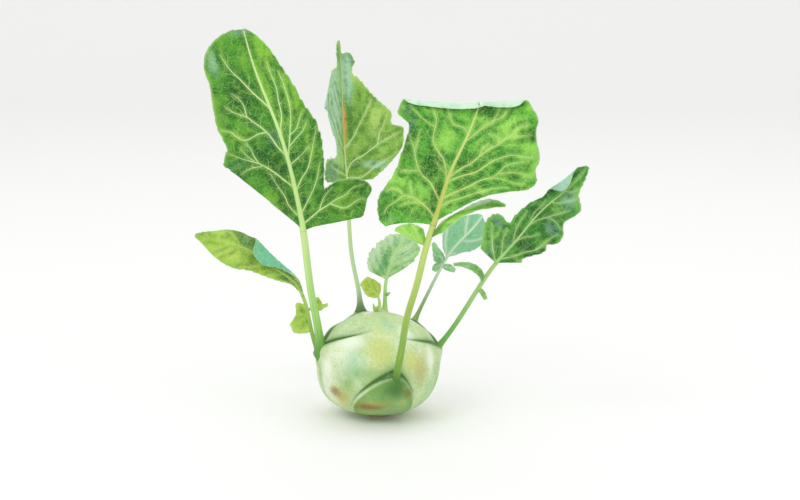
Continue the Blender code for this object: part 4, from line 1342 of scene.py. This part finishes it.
    def rows(self) -> np.ndarray:
        """Where each row of the blade leaves the rib.

        Returns:
            Lengths up the rib: the lower of the two outlines' along less a slope times out, kept climbing.
        """
        roots = np.min([line[:, 1] - self.vein_slope * line[:, 0] for line in self.outlines], axis=0)
        least = self.fan_step / self.row_steps
        order = np.arange(len(roots)) * least
        roots[0], roots[-1] = 0.0, self.length
        roots = np.maximum.accumulate(roots - order) + order
        roots = np.minimum.accumulate((roots - order)[::-1])[::-1] + order
        return np.clip(roots, 0.0, self.length)

    def flat_grid(self) -> tuple[np.ndarray, np.ndarray]:
        """Spread rows from the rib to both outlines.

        Returns:
            Grids of along and out, from the left edge to the right one. A row goes to its place on the outline
            by a power of its share, which is the wing's bend on the first rows.
        """
        roots = self.rows()
        fade = np.clip(1.0 - np.arange(len(roots)) / (3.0 * self.row_steps), 0.0, 1.0)[:, None]
        share = np.linspace(0.0, 1.0, self.columns + 1)[None] ** 0.9
        halves = []
        for wing, line in zip(Wing, self.outlines):
            power = 1.08 + (self.form.bend[wing.value] - 1.08) * fade
            along = roots[:, None] + (line[:, 1:] - roots[:, None]) * share ** power
            halves.append((along, wing.sign * line[:, :1] * share))
        along = np.hstack([halves[0][0][:, :0:-1], halves[1][0]])
        out = np.hstack([halves[0][1][:, :0:-1], halves[1][1]])
        return along, out

    def leaf_fields(self, along: np.ndarray, out: np.ndarray) -> dict[str, np.ndarray]:
        """Work out what colours the sheet: its washes, painted shade and painted light among them, the painted shadow
        under each roll, the halos of veins, the edge and the painted shade in the hollows.

        Args:
            along: Lengths up the rib.
            out: Distances across from the rib.

        Returns:
            Values from 0 to 1 by name.
        """
        away = self.from_vein(along, out)
        share = np.abs(np.linspace(-1.0, 1.0, out.shape[1]))[None]
        inward = (1.0 - share) * np.maximum(np.abs(out[:, [0]]), np.abs(out[:, [-1]]))
        fields = {tone.value: np.zeros_like(out) for tone in Tone}
        for wash in self.form.washes:
            bell = wash.bell(out - wash.across, along - wash.up)
            fields[wash.tone.value] = np.maximum(fields[wash.tone.value], bell)
        # Painted shadow along each roll line, laid into the deep field.
        for roll in self.form.rolls:
            past, run = roll.beyond(along, out)
            shadow = hill(past + 1.0, 2.2) * (smooth(run / roll.fade) if roll.fade else 1.0)
            fields[Tone.DEEP.value] = np.maximum(fields[Tone.DEEP.value], shadow)
        fields["veining"] = hill(away, self.halo_width)
        fields["edge"] = smooth(1.0 - inward / self.edge_width)
        fields["margin"] = smooth(1.0 - inward / self.margin_width)
        # Painted shade in the hollows beside the veins.
        fields["hollow"] = hill(away - 3.0, 1.6) * smooth(np.abs(out) / 6.0)
        return fields

    def sheet_patch(self) -> Patch:
        """Build the sheet as one closed skin, its face and its underside with finishes of their own.

        Returns:
            A closed patch: the grid raised and lowered by its half thickness, with a wall round the rim.
        """
        along, out = self.flat_grid()
        middle = self.place(along, out)
        normal = unit(np.cross(np.gradient(middle, axis=1), np.gradient(middle, axis=0)))
        middle = middle + normal * self.relief(along, out)[..., None]
        fields = self.leaf_fields(along, out)
        thick = self.edge_thickness + (self.half_thickness - self.edge_thickness) * (1.0 - fields["edge"])
        rows, columns = out.shape
        count = rows * columns
        points = np.vstack([(middle + side * normal * thick[..., None]).reshape(-1, 3) for side in (1.0, -1.0)])
        quads = grid_quads(rows, columns)
        number = np.arange(count).reshape(rows, columns)
        rim = np.concatenate([number[0], number[1:, -1], number[-1, -2::-1], number[-2:0:-1, 0]])
        after = np.roll(rim, -1)
        walls = np.stack([after, rim, rim + count, after + count], axis=-1)
        flat = np.stack([out / FLAT_SPAN + 0.5, along / FLAT_SPAN + 0.5], axis=-1).reshape(-1, 2)
        faces = np.vstack([quads, quads[:, ::-1] + count, walls])
        finish = np.full(len(faces), int(Skin.UNDERSIDE))
        finish[:len(quads)] = Skin.FACE
        both = {name: np.tile(values.ravel(), 2) for name, values in fields.items()}
        return Patch(points, faces, np.empty((0, 3), dtype=int), finish, np.vstack([flat, flat]), both).facing_out()

    def cord(self, line: np.ndarray, start: float, end: float, sides: int = 6) -> Patch:
        """Lay a tapering vein on the sheet.

        Args:
            line: Points (out, along).
            start: Half width where it begins.
            end: Half width where it ends.
            sides: Points round it.

        Returns:
            A closed tube of oval section, which stands out of both faces by a share of its half width.
        """
        out, along = line[:, 0], line[:, 1]
        centre, normal = self.skin(along, out)
        forward = unit(np.gradient(centre, axis=0))
        beside = unit(np.cross(normal, forward))
        half = np.linspace(start, end, len(line))
        turn = full_turn(sides)
        wide = beside[:, None] * (half[:, None] * np.cos(turn))[..., None]
        tall = normal[:, None] * ((self.half_thickness + 0.45 * half)[:, None] * np.sin(turn))[..., None]
        rings = centre[:, None] + wide + tall
        poles = np.vstack([centre[0] - forward[0] * start * 0.5, centre[-1] + forward[-1] * end])
        flat = np.broadcast_to(line[:, None] / FLAT_SPAN + 0.5, (*rings.shape[:2], 2))
        ribward = 0.75 + 0.25 * np.linspace(0.0, 1.0, len(line))
        return closed_tube(rings, poles, flat, {"ribward": ribward})

    def branches(self, line: np.ndarray, reach: float, spacing: float) -> list[np.ndarray]:
        """Branch a vein to alternate sides.

        Args:
            line: The parent's points.
            reach: Length of the longest branch.
            spacing: Length of the parent for each branch.

        Returns:
            Lines that leave the parent at a slant, bend forward with a slight wave and get shorter towards its
            end, trimmed to the blade.
        """
        total = float(np.sum(np.linalg.norm(np.diff(line, axis=0), axis=1)))
        count = int(total / spacing)
        found = []
        for number in range(count):
            share = (number + self.random.uniform(0.5, 1.0)) / (count + 0.4)
            at = int(share * (len(line) - 1))
            step = line[min(at + 1, len(line) - 1)] - line[max(at - 1, 0)]
            heading = step / max(float(np.linalg.norm(step)), 1e-6)
            turn = (1.0 if number % 2 else -1.0) * np.radians(self.random.uniform(38.0, 62.0))
            length = reach * (1.0 - 0.45 * share) * self.random.uniform(0.6, 1.2)
            t = np.linspace(0.0, 1.0, 14)
            angle = turn * (1.0 - 0.75 * t) + 0.5 * np.sin(7.0 * t + number) * t
            steps = np.stack([heading[0] * np.cos(angle) - heading[1] * np.sin(angle),
                              heading[0] * np.sin(angle) + heading[1] * np.cos(angle)], axis=-1)
            branch = line[at] + (np.cumsum(steps, axis=0) - steps[0]) * length / len(t)
            cut = self.trimmed(branch)
            if len(cut) > 6 and np.all(np.sign(cut[1:, 0]) == np.sign(line[-1, 0])):
                found.append(cut)
        return found

    def vein_patches(self) -> list[Patch]:
        """Lay the side veins, their branches and their branches' twigs.

        Returns:
            A tube for each.
        """
        size = float(np.clip(self.length / 120.0, 0.35, 1.0))
        patches = []
        for vein, line in zip(self.veins, self.vein_lines):
            wide = vein.width * size
            patches.append(self.cord(line, 0.80 * wide + 0.05, 0.16 * wide + 0.08, 8))
            for branch in self.branches(line, 17.0 * size, 9.0 * size):
                patches.append(self.cord(branch, 0.20 * wide + 0.03, 0.07))
                for twig in self.branches(branch, 8.0 * size, 6.0 * size):
                    patches.append(self.cord(twig, 0.10, 0.05, 5))
        return patches


@dataclass
class Stem:
    """The round stalk of a leaf and the midrib that it becomes."""

    lamina: Lamina
    outward: np.ndarray
    sides: int = 36
    spacing: float = 1.6
    sink: float = 0.35
    foot_end: float = 2.2
    rib_count: int = 9
    rib_depth: float = 0.025
    groove_depth: float = 0.10
    groove_width: float = 0.45

    def rings(self, middle: np.ndarray, across: np.ndarray, up: np.ndarray, radius: np.ndarray) -> np.ndarray:
        """Set rings of a ribbed section round the middles of a stalk or rib.

        Args:
            middle: The middle of each ring.
            across: The direction across at each.
            up: The direction towards the face at each.
            radius: The radius of each.

        Returns:
            Points by ring and place. The radius swells by low ribs, a cosine of the turn, and dips in one
            groove, a bell on the face's side.
        """
        turn = full_turn(self.sides)
        groove = self.groove_depth * hill(turn - np.pi / 2.0, self.groove_width)
        section = 1.0 + self.rib_depth * np.cos(self.rib_count * turn) - groove
        return middle[:, None] + spokes(across, up, turn) * (radius[:, None] * section)[..., None]

    def flat(self, lengths: np.ndarray) -> np.ndarray:
        """Flat coordinates: the place round the stalk and the length up it."""
        round_it, up = np.meshgrid(np.linspace(0.0, 1.0, self.sides, endpoint=False), lengths / FLAT_SPAN)
        return np.stack([round_it, up], axis=-1)

    def stalk_patch(self) -> Patch:
        """Build the stalk from its sunken foot to the blade.

        Returns:
            A closed tube. It tapers from one radius to the other, spreads towards the foot by an exponential
            of the length, and narrows below the foot by the root of one less a square.
        """
        form = self.lamina.form
        sunken = np.linspace(-2.0 * form.foot, 0.0, 14)
        upper = np.linspace(0.0, form.stalk, max(4, int(form.stalk / self.spacing)))[1:]
        lengths = np.concatenate([sunken, upper])
        thick = form.radius[0] + (form.radius[1] - form.radius[0]) * lengths / max(form.stalk, 1e-6)
        thick = thick + (form.foot - form.radius[0]) * np.exp(-np.maximum(lengths, 0.0) / form.foot)
        below = form.foot * np.sqrt(np.clip(1.0 - (lengths / (self.foot_end * form.foot)) ** 2, 0.0, 1.0))
        radius = np.where(lengths < 0.0, below, thick)
        _, across, facing = self.lamina.frame(lengths)
        sunk = self.sink * np.minimum(lengths, 0.0) ** 2 / form.foot
        middle = self.lamina.path.at(lengths) - self.outward * sunk[:, None]
        fields = {
            "footward": hill(np.maximum(lengths, 0.0), 2.4 * form.foot),
            "ribward": 0.8 * smooth(lengths / max(form.stalk, 1e-6)),
        }
        rings = self.rings(middle, across, facing, radius)
        return closed_tube(rings, middle[[0, -1]], self.flat(lengths), fields)

    def rib_patch(self) -> Patch:
        """Build the midrib from the blade's foot to its tip, or to just before a line where the blade rolls over.

        Returns:
            A closed tube, set a little towards the underside.
        """
        lamina = self.lamina
        top = min([lamina.length - 0.6] + [roll.start[1] - roll.start[0] * roll.line[1] / roll.line[0] - 1.0
                                           for roll in lamina.form.rolls if roll.line[0] > abs(roll.line[1])])
        along = np.linspace(0.0, top, max(8, int(top / self.spacing)))
        radius = lamina.rib_radius(along)
        zero = np.zeros_like(along)
        centre, normal = lamina.place(along, zero), lamina.normal(along, zero)
        forward = unit(np.gradient(centre, axis=0))
        across = unit(np.cross(forward, normal))
        centre = centre - normal * (0.28 * radius * smooth(along / 14.0))[:, None]
        rings = self.rings(centre, across, normal, radius)
        poles = np.vstack([centre[0], centre[-1] + forward[-1] * radius[-1]])
        middle, width = lamina.form.rust
        fields = {
            "ribward": 0.8 + 0.2 * smooth(along / lamina.length),
            "rusty": hill(along - middle, width) if width else zero,
        }
        return closed_tube(rings, poles, self.flat(lamina.form.stalk + along), fields)


@dataclass(frozen=True)
class Bud:
    """A small flat pointed sprout: the points that it passes, its half width and the leaf whose stalk carries it."""

    points: Points
    half_width: float
    leaf: str
    sides: int = 16
    flatness: float = 0.35
    least: float = 0.15

    def patch(self) -> Patch:
        """Build the bud.

        Returns:
            A closed tube of oval section. Its half width goes by the sine of a power of the share of its length.
        """
        path = Path(np.array(self.points))
        share = np.linspace(0.02, 0.98, 24)
        centre, forward = path.at(share * path.length), path.tangent(share * path.length)
        across = unit(np.cross(forward, np.array([0.0, -1.0, 0.0])))
        turn = full_turn(self.sides)
        half = (self.half_width * np.sin(np.pi * share ** 0.7))[:, None, None] + self.least
        rings = centre[:, None] + spokes(across, self.flatness * np.cross(across, forward), turn) * half
        flat = np.stack(np.broadcast_arrays(turn[None] / (2.0 * np.pi), share[:, None] * 0.1), axis=-1)
        poles = path.at(np.array([0.0, path.length]))
        return closed_tube(rings, poles, flat, {"ribward": 0.5 * share})


BUDS = (
    Bud(((-2.0, 9.0, 80.0), (-3.0, 8.6, 84.0), (-4.2, 8.0, 88.0)), 1.2, "young"),
    Bud(((-1.5, 10.0, 80.5), (-1.2, 9.0, 83.5), (0.2, 8.0, 86.5)), 0.9, "young"),
    Bud(((5.6, 35.0, 88.5), (7.6, 33.5, 90.5), (9.8, 33.0, 91.5)), 1.4, "back_small"),
)


# The swollen stem.


class StainAndShading(Enum):
    """What a mark turns the skin towards, by the name of the field that carries it. Light marks are painted highlights;
    green marks are greener skin, and painted shade on the front; the rest are the skin's own colours.
    """

    BROWN = "brown"
    OCHRE = "ochre"
    # Greener skin, and painted shade on the front.
    GREEN = "green"
    COOL = "cool"
    WARM = "warm"
    # Painted highlights.
    LIGHT = "light"


@dataclass
class Bulb:
    """The swollen stem with its leaf bases, collars, marks and trimmed root."""

    radius: float = 48.0
    rise: float = 39.5
    drop: float = 39.0
    centre: np.ndarray = field(default_factory=lambda: np.array([0.0, 0.0, 42.0]))
    power_above: float = 2.05
    power_below: float = 2.6
    lump: float = 0.7
    root_radius: float = 10.0
    root_bevel: float = 0.8
    ridge_step: float = 2.6
    ridge_crown: float = 0.6
    ridge_fade: float = 14.0
    bold_height: float = 2.0
    shadow_width: float = 4.5
    shield_fade: float = 60.0
    segments: int = 360
    ring_count: int = 190
    marks: tuple[Spot, ...] = (
        *Spot.of(StainAndShading.BROWN, (-46, 27, 9, 5, 0.7), (-10, 17, 16, 4, 0.8), (29, 28, 6, 7, 0.6),
                 (150, 14, 14, 5, 0.7), (-120, 22, 9, 5, 0.7)),
        *Spot.of(StainAndShading.OCHRE, (44, 43, 9, 14, 0.6), (-40, 24, 14, 8, 0.6), (-6, 20, 18, 5, 0.5),
                 (112, 30, 12, 14, 0.6), (-160, 26, 14, 9, 0.6)),
        *Spot.of(StainAndShading.WARM, (4, 60, 18, 18, 0.55), (34, 52, 12, 12, 0.6), (-6, 13.5, 12, 1.2),
                 (170, 52, 20, 16, 0.5), (-90, 40, 14, 16, 0.5)),
        # The green marks on the front, above the front leaf's base and near both sides, are painted shade; those behind
        # make the skin greener.
        *Spot.of(StainAndShading.GREEN, (-30, 36, 12, 16, 0.55), (-12, 44, 18, 7, 0.6), (-70, 34, 5, 20, 0.6),
                 (78, 30, 10, 18, 0.5), (140, 58, 18, 10, 0.5), (-130, 48, 10, 18, 0.5)),
        *Spot.of(StainAndShading.COOL, (-22, 50, 11, 14, 0.6), (20, 78, 16, 7, 0.5), (-170, 70, 18, 9, 0.5)),
        # The light marks are painted highlights where light falls on the skin.
        *Spot.of(StainAndShading.LIGHT, (-30, 66, 14, 6, 0.9), (-54, 44, 8, 12, 0.9), (40, 70, 10, 6),
                 (60, 50, 5, 14, 0.8), (120, 50, 10, 14, 0.7)),
    )
    finish: BulbFinish = BulbFinish()

    def globe(self, directions: np.ndarray) -> np.ndarray:
        """Distance to the plain surface along unit directions.

        Args:
            directions: Unit vectors from the centre.

        Returns:
            Distances of a superellipsoid, with low lumps by a sine of three turns.
        """
        level = np.linalg.norm(directions[..., :2], axis=-1)
        height = directions[..., 2]
        power = np.where(height > 0.0, self.power_above, self.power_below)
        reach = np.where(height > 0.0, self.rise, self.drop)
        distance = ((level / self.radius) ** power + (np.abs(height) / reach) ** power) ** (-1.0 / power)
        turn = np.arctan2(directions[..., 1], directions[..., 0])
        return distance + self.lump * level ** 2 * np.sin(3.0 * turn + 4.0 * height + 0.6)

    def foot(self, form: LeafForm) -> tuple[np.ndarray, np.ndarray]:
        """The point on the plain surface where a stalk begins, and the way out there."""
        direction = unit(np.array(form.path[0], dtype=float) - self.centre)
        return self.centre + direction * self.globe(direction), direction

    def base(self, form: LeafForm, points: np.ndarray) -> tuple[np.ndarray, np.ndarray, np.ndarray]:
        """Measure points against the arch of a leaf's base.

        Args:
            form: The leaf.
            points: Points on the plain surface.

        Returns:
            How far each lies below the arch, how far out along it as a share of its reach, and the weight of
            the base there.
        """
        ridge = form.ridge
        foot, outward = self.foot(form)
        offset = points - foot
        across = unit(np.cross(outward, np.array([0.0, 0.0, 1.0])))
        sideways, below = offset @ across, offset @ np.cross(outward, across)
        if outward[2] < self.ridge_crown:
            turn = np.arctan2(points[..., 1], points[..., 0]) - np.arctan2(foot[1], foot[0])
            sideways = np.hypot(foot[0], foot[1]) * ((turn + np.pi) % (2.0 * np.pi) - np.pi)
            below = foot[2] - points[..., 2]
        share = np.abs(sideways) / np.where(sideways < 0.0, ridge.reach[0], ridge.reach[1])
        below = below + ridge.rise - ridge.drop * share ** ridge.power
        taper = np.clip(2.0 * (1.2 - share), 0.0, 1.0)
        near = np.clip((points - self.centre) @ outward / 12.0, 0.0, 1.0)
        return below, share, taper * near

    def surface(self, directions: np.ndarray) -> tuple[np.ndarray, dict[str, np.ndarray]]:
        """Place the skin along unit directions.

        Args:
            directions: Unit vectors from the centre.

        Returns:
            Points and the fields that colour them. The skin rises by the highest leaf base, a step that fades
            below its arch, and by a bell-shaped collar round each foot. The line, painted shade in the crease of
            each step, is a bell about the arch, and a wider one round the front stalk's foot; the shadow is one
            above the arch, and the shield is what lies below the arch of the front leaf.
        """
        plain = self.centre + directions * self.globe(directions)[..., None]
        lift, line, shadow, shield, collar = np.zeros((5, *plain.shape[:-1]))
        for form in LEAVES:
            below, share, weight = self.base(form, plain)
            under = np.maximum(below, 0.0)
            step = smooth(below / self.ridge_step + 0.5) * np.exp(-under / self.ridge_fade)
            lift = np.maximum(lift, form.ridge.height * step * weight)
            bold = weight * min(1.0, form.ridge.height / self.bold_height)
            width = 0.9 + 2.0 * np.clip(1.0 - 1.3 * share, 0.0, 1.0)
            # Painted shade in the crease along the step of the leaf base.
            crease_shade = 1.5 * hill(below + 1.0, width) * bold * (1.0 - 0.5 * np.clip(share, 0.0, 1.0))
            line = np.maximum(line, np.minimum(crease_shade, 1.0))
            above = hill(np.minimum(below + 1.0, 0.0), self.shadow_width) * (below < 0.5)
            shadow = np.maximum(shadow, above * bold * np.clip(1.2 - share, 0.0, 1.0))
            away = np.linalg.norm(plain - self.foot(form)[0], axis=-1)
            collar = np.maximum(collar, 0.5 * form.foot * hill(away, 1.3 * form.foot))
            if form is FRONT_TALL:
                shield = smooth((below - 1.5) / 3.0) * smooth(3.0 * weight) * np.exp(-under / self.shield_fade)
                # Painted shade round the front stalk's foot, where it meets the skin.
                line = np.maximum(line, 0.85 * hill(away, 1.7 * form.foot))
        points = plain + directions * (lift + collar)[..., None]
        return points, {"line": line, "shield": shield, "shadow": shadow, **self.stains_and_shading(plain)}

    def stains_and_shading(self, points: np.ndarray) -> dict[str, np.ndarray]:
        """Strength of each kind of mark at points, painted highlights and painted shade among them: the highest bell in
        the arc round the bulb and in the height.
        """
        turn = np.degrees(np.arctan2(points[..., 0], -points[..., 1]))
        fields = {mark_kind.value: np.zeros(points.shape[:-1]) for mark_kind in StainAndShading}
        for mark in self.marks:
            arc = np.radians((turn - mark.across + 180.0) % 360.0 - 180.0) * self.radius
            bell = mark.bell(arc, points[..., 2] - mark.up)
            fields[mark.tone.value] = np.maximum(fields[mark.tone.value], bell)
        return fields

    def patch(self) -> Patch:
        """Build the bulb from the crown down to the flat cut of the root.

        Returns:
            A closed patch: rings by polar angle, then the root's side, its bevel and its flat cut.
        """
        turn = full_turn(self.segments)
        circle = np.stack([np.cos(turn), np.sin(turn)], axis=-1)
        last = np.pi - np.arctan2(self.root_radius + 1.5, self.drop)
        polar = np.linspace(0.0, last, self.ring_count + 1)[1:, None, None]
        directions = np.concatenate([circle[None] * np.sin(polar),
                                     np.broadcast_to(np.cos(polar), (self.ring_count, self.segments, 1))], axis=-1)
        skin, fields = self.surface(directions)
        neck = skin[-1, :, 2].mean() - 1.0
        wobble = 1.0 + 0.03 * np.sin(3.0 * turn + 0.6) + 0.012 * np.sin(17.0 * turn)
        side, bevel = self.root_radius, self.root_bevel
        profile = [(side, neck), (side, 0.5 * (neck + bevel)), (side, bevel), (side - 0.25 * bevel, 0.25 * bevel),
                   (side - bevel, 0.0), (0.6 * side, 0.0), (0.3 * side, 0.0)]
        root = np.stack([np.column_stack([circle * (radius * wobble)[:, None], np.full(self.segments, height)])
                         for radius, height in profile])
        rings = np.concatenate([skin, root])
        spread = {name: np.concatenate([values, np.repeat(values[-1:], len(root), axis=0)])
                  for name, values in fields.items()}
        cut = np.concatenate([smooth((polar[:, 0, 0] - last) / 0.06 + 1.0) * 0.6, np.ones(len(root))])
        crown, _ = self.surface(np.array([[0.0, 0.0, 1.0]]))
        poles = np.vstack([crown, np.zeros((1, 3))])
        flat = np.stack(np.broadcast_arrays(turn[None] / (2.0 * np.pi), np.linspace(0, 1, len(rings))[:, None]), -1)
        patch = closed_tube(rings, poles, flat, {"cut": cut})
        for name, values in spread.items():
            patch.fields[name] = np.concatenate([values.ravel(), [values[0].mean(), values[-1].mean()]])
        return patch

    def build(self) -> bpy.types.Object:
        """Build and dress the bulb, in place of its solid."""
        piece = make_piece("swollen_stem", [self.patch()], [self.finish.skinned("stem_skin")])
        return take_place(piece, "bulb")


@dataclass
class DressedLeaf:
    """One leaf: its blade with veins and midrib, and its stalk with the leaflets on it."""

    form: LeafForm
    bulb: Bulb

    def finishes(self) -> list[bpy.types.Material]:
        """Make the leaf's materials, in the order of Skin."""
        name = self.form.name
        return [self.form.stalk_finish.skin(name + "_ribs"), self.form.blade_finish.upper(name + "_face"),
                self.form.blade_finish.lower(name + "_underside")]

    def build(self) -> list[bpy.types.Object]:
        """Build the stalk and the blade, in place of their solids.

        Returns:
            The two pieces.
        """
        finishes = self.finishes()
        lamina = Lamina(self.form, np.zeros(3))
        stem = Stem(lamina, self.bulb.foot(self.form)[1])
        blade = [lamina.sheet_patch(), *lamina.vein_patches(), stem.rib_patch()]
        stalk = [stem.stalk_patch()]
        for form in self.form.leaflets:
            small = Lamina(form, lamina.path.at(form.attach), columns=16)
            stalk += [small.sheet_patch(), *small.vein_patches(), Stem(small, np.zeros(3), sides=16).rib_patch()]
        name = self.form.name
        stalk += [bud.patch() for bud in BUDS if bud.leaf == name]
        return [take_place(make_piece("leaf_" + name, blade, finishes), "blade_" + name),
                take_place(make_piece("stem_" + name, stalk, finishes), "stalk_" + name)]


def take_place(piece: bpy.types.Object, node: str) -> bpy.types.Object:
    """Put a piece in the place of a solid, on the root body, and hide the solid."""
    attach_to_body(piece, "root")
    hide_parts(node)
    LOG.info("%s stands for %s, %d faces", piece.name, node, len(piece.data.polygons))
    return piece


# The studio.


@dataclass(frozen=True)
class Lamp:
    """A square soft light that points at the object: its place and side in metres and its power in watts."""

    name: str
    place: tuple[float, float, float]
    side: float
    power: float


@dataclass
class Studio:
    """A pale floor that sweeps up behind, soft lights, a white surround and the camera."""

    aim: tuple[float, float, float] = (0.0172, 0.0, 0.132)
    distance: float = 1.473
    elevation: float = 10.0
    lens: float = 85.0
    sensor: float = 36.0
    floor_half: float = 4.0
    sweep: float = 1.5
    floor_columns: int = 9
    floor_colour: Colour = (0.93, 0.93, 0.92)
    air_strength: float = 0.92
    lamps: tuple[Lamp, ...] = (
        Lamp("key", (-1.1, -1.5, 1.7), 1.2, 12.0),
        Lamp("fill", (1.5, -1.2, 1.0), 1.6, 4.0),
        Lamp("top", (0.2, 0.9, 1.9), 1.4, 4.0),
    )

    def floor(self) -> bpy.types.Object:
        """Build the floor: flat, then a quarter circle, then a wall.

        Returns:
            The stage piece.
        """
        turn = np.linspace(0.0, 0.5 * np.pi, 24)
        flat_y = np.linspace(-self.floor_half, self.floor_half - self.sweep, 12)
        y = np.concatenate([flat_y, flat_y[-1] + self.sweep * np.sin(turn[1:]), [self.floor_half]])
        z = np.concatenate([np.zeros(12), self.sweep * (1.0 - np.cos(turn[1:])), [self.floor_half]])
        x = np.linspace(-self.floor_half, self.floor_half, self.floor_columns)
        points = np.stack(np.broadcast_arrays(x[None], y[:, None], z[:, None]), axis=-1).reshape(-1, 3)
        board = Board("studio_paper")
        tone = board.noise(board.solid(), 0.7, 2.0)
        colour = board.mix(self.floor_colour, tuple(0.97 * part for part in self.floor_colour), tone)
        board.finish(colour, 0.85 + tone * 0.1, tone, 0.1)
        quads = grid_quads(len(y), self.floor_columns)
        patch = Patch(points / MM, quads, np.empty((0, 3), dtype=int), 0, points[:, :2] / self.floor_half)
        floor = make_piece("studio_floor", [patch], [board.material])
        return floor

    def put(self, name: str, data: bpy.types.ID, place: tuple[float, float, float]) -> bpy.types.Object:
        """Put a light or the camera at a place, pointing at the object.

        Args:
            name: Its name.
            data: The light or camera.
            place: Where it stands, in metres.

        Returns:
            The linked object.
        """
        item = bpy.data.objects.new(name, data)
        item.location = place
        item.rotation_euler = aim_at(place, self.aim)
        bpy.context.scene.collection.objects.link(item)
        return item

    def build(self) -> None:
        """Set the floor, the lights, the surroundings and the camera."""
        self.floor()
        for lamp in self.lamps:
            light = bpy.data.lights.new(lamp.name, "AREA")
            light.size = lamp.side
            light.energy = lamp.power
            self.put(lamp.name, light, lamp.place)
        world = bpy.data.worlds.new("studio_air")
        world.use_nodes = True
        backdrop = world.node_tree.nodes["Background"]
        backdrop.inputs["Color"].default_value = (1.0, 1.0, 1.0, 1.0)
        backdrop.inputs["Strength"].default_value = self.air_strength
        bpy.context.scene.world = world
        bpy.context.scene.view_settings.view_transform = "Standard"
        tilt = np.radians(self.elevation)
        place = (self.aim[0], self.aim[1] - self.distance * np.cos(tilt), self.aim[2] + self.distance * np.sin(tilt))
        camera = bpy.data.cameras.new("camera")
        camera.sensor_width = self.sensor
        camera.lens = self.lens
        bpy.context.scene.camera = self.put("camera", camera, place)


def aim_at(place: Sequence[float], target: Sequence[float]) -> tuple[float, float, float]:
    """Turns about the three axes that point -Z from a place to a target, with +Y up."""
    way = unit(np.array(target) - np.array(place))
    return float(np.arccos(-way[2])), 0.0, float(np.arctan2(-way[0], way[1]))


def main() -> None:
    """Build the bulb, the leaves and the studio, in that order."""
    logging.basicConfig(level=logging.INFO, format="%(name)s: %(message)s")
    bulb = Bulb()
    bulb.build()
    for form in LEAVES:
        DressedLeaf(form, bulb).build()
    Studio().build()


if __name__ == "__main__":
    main()
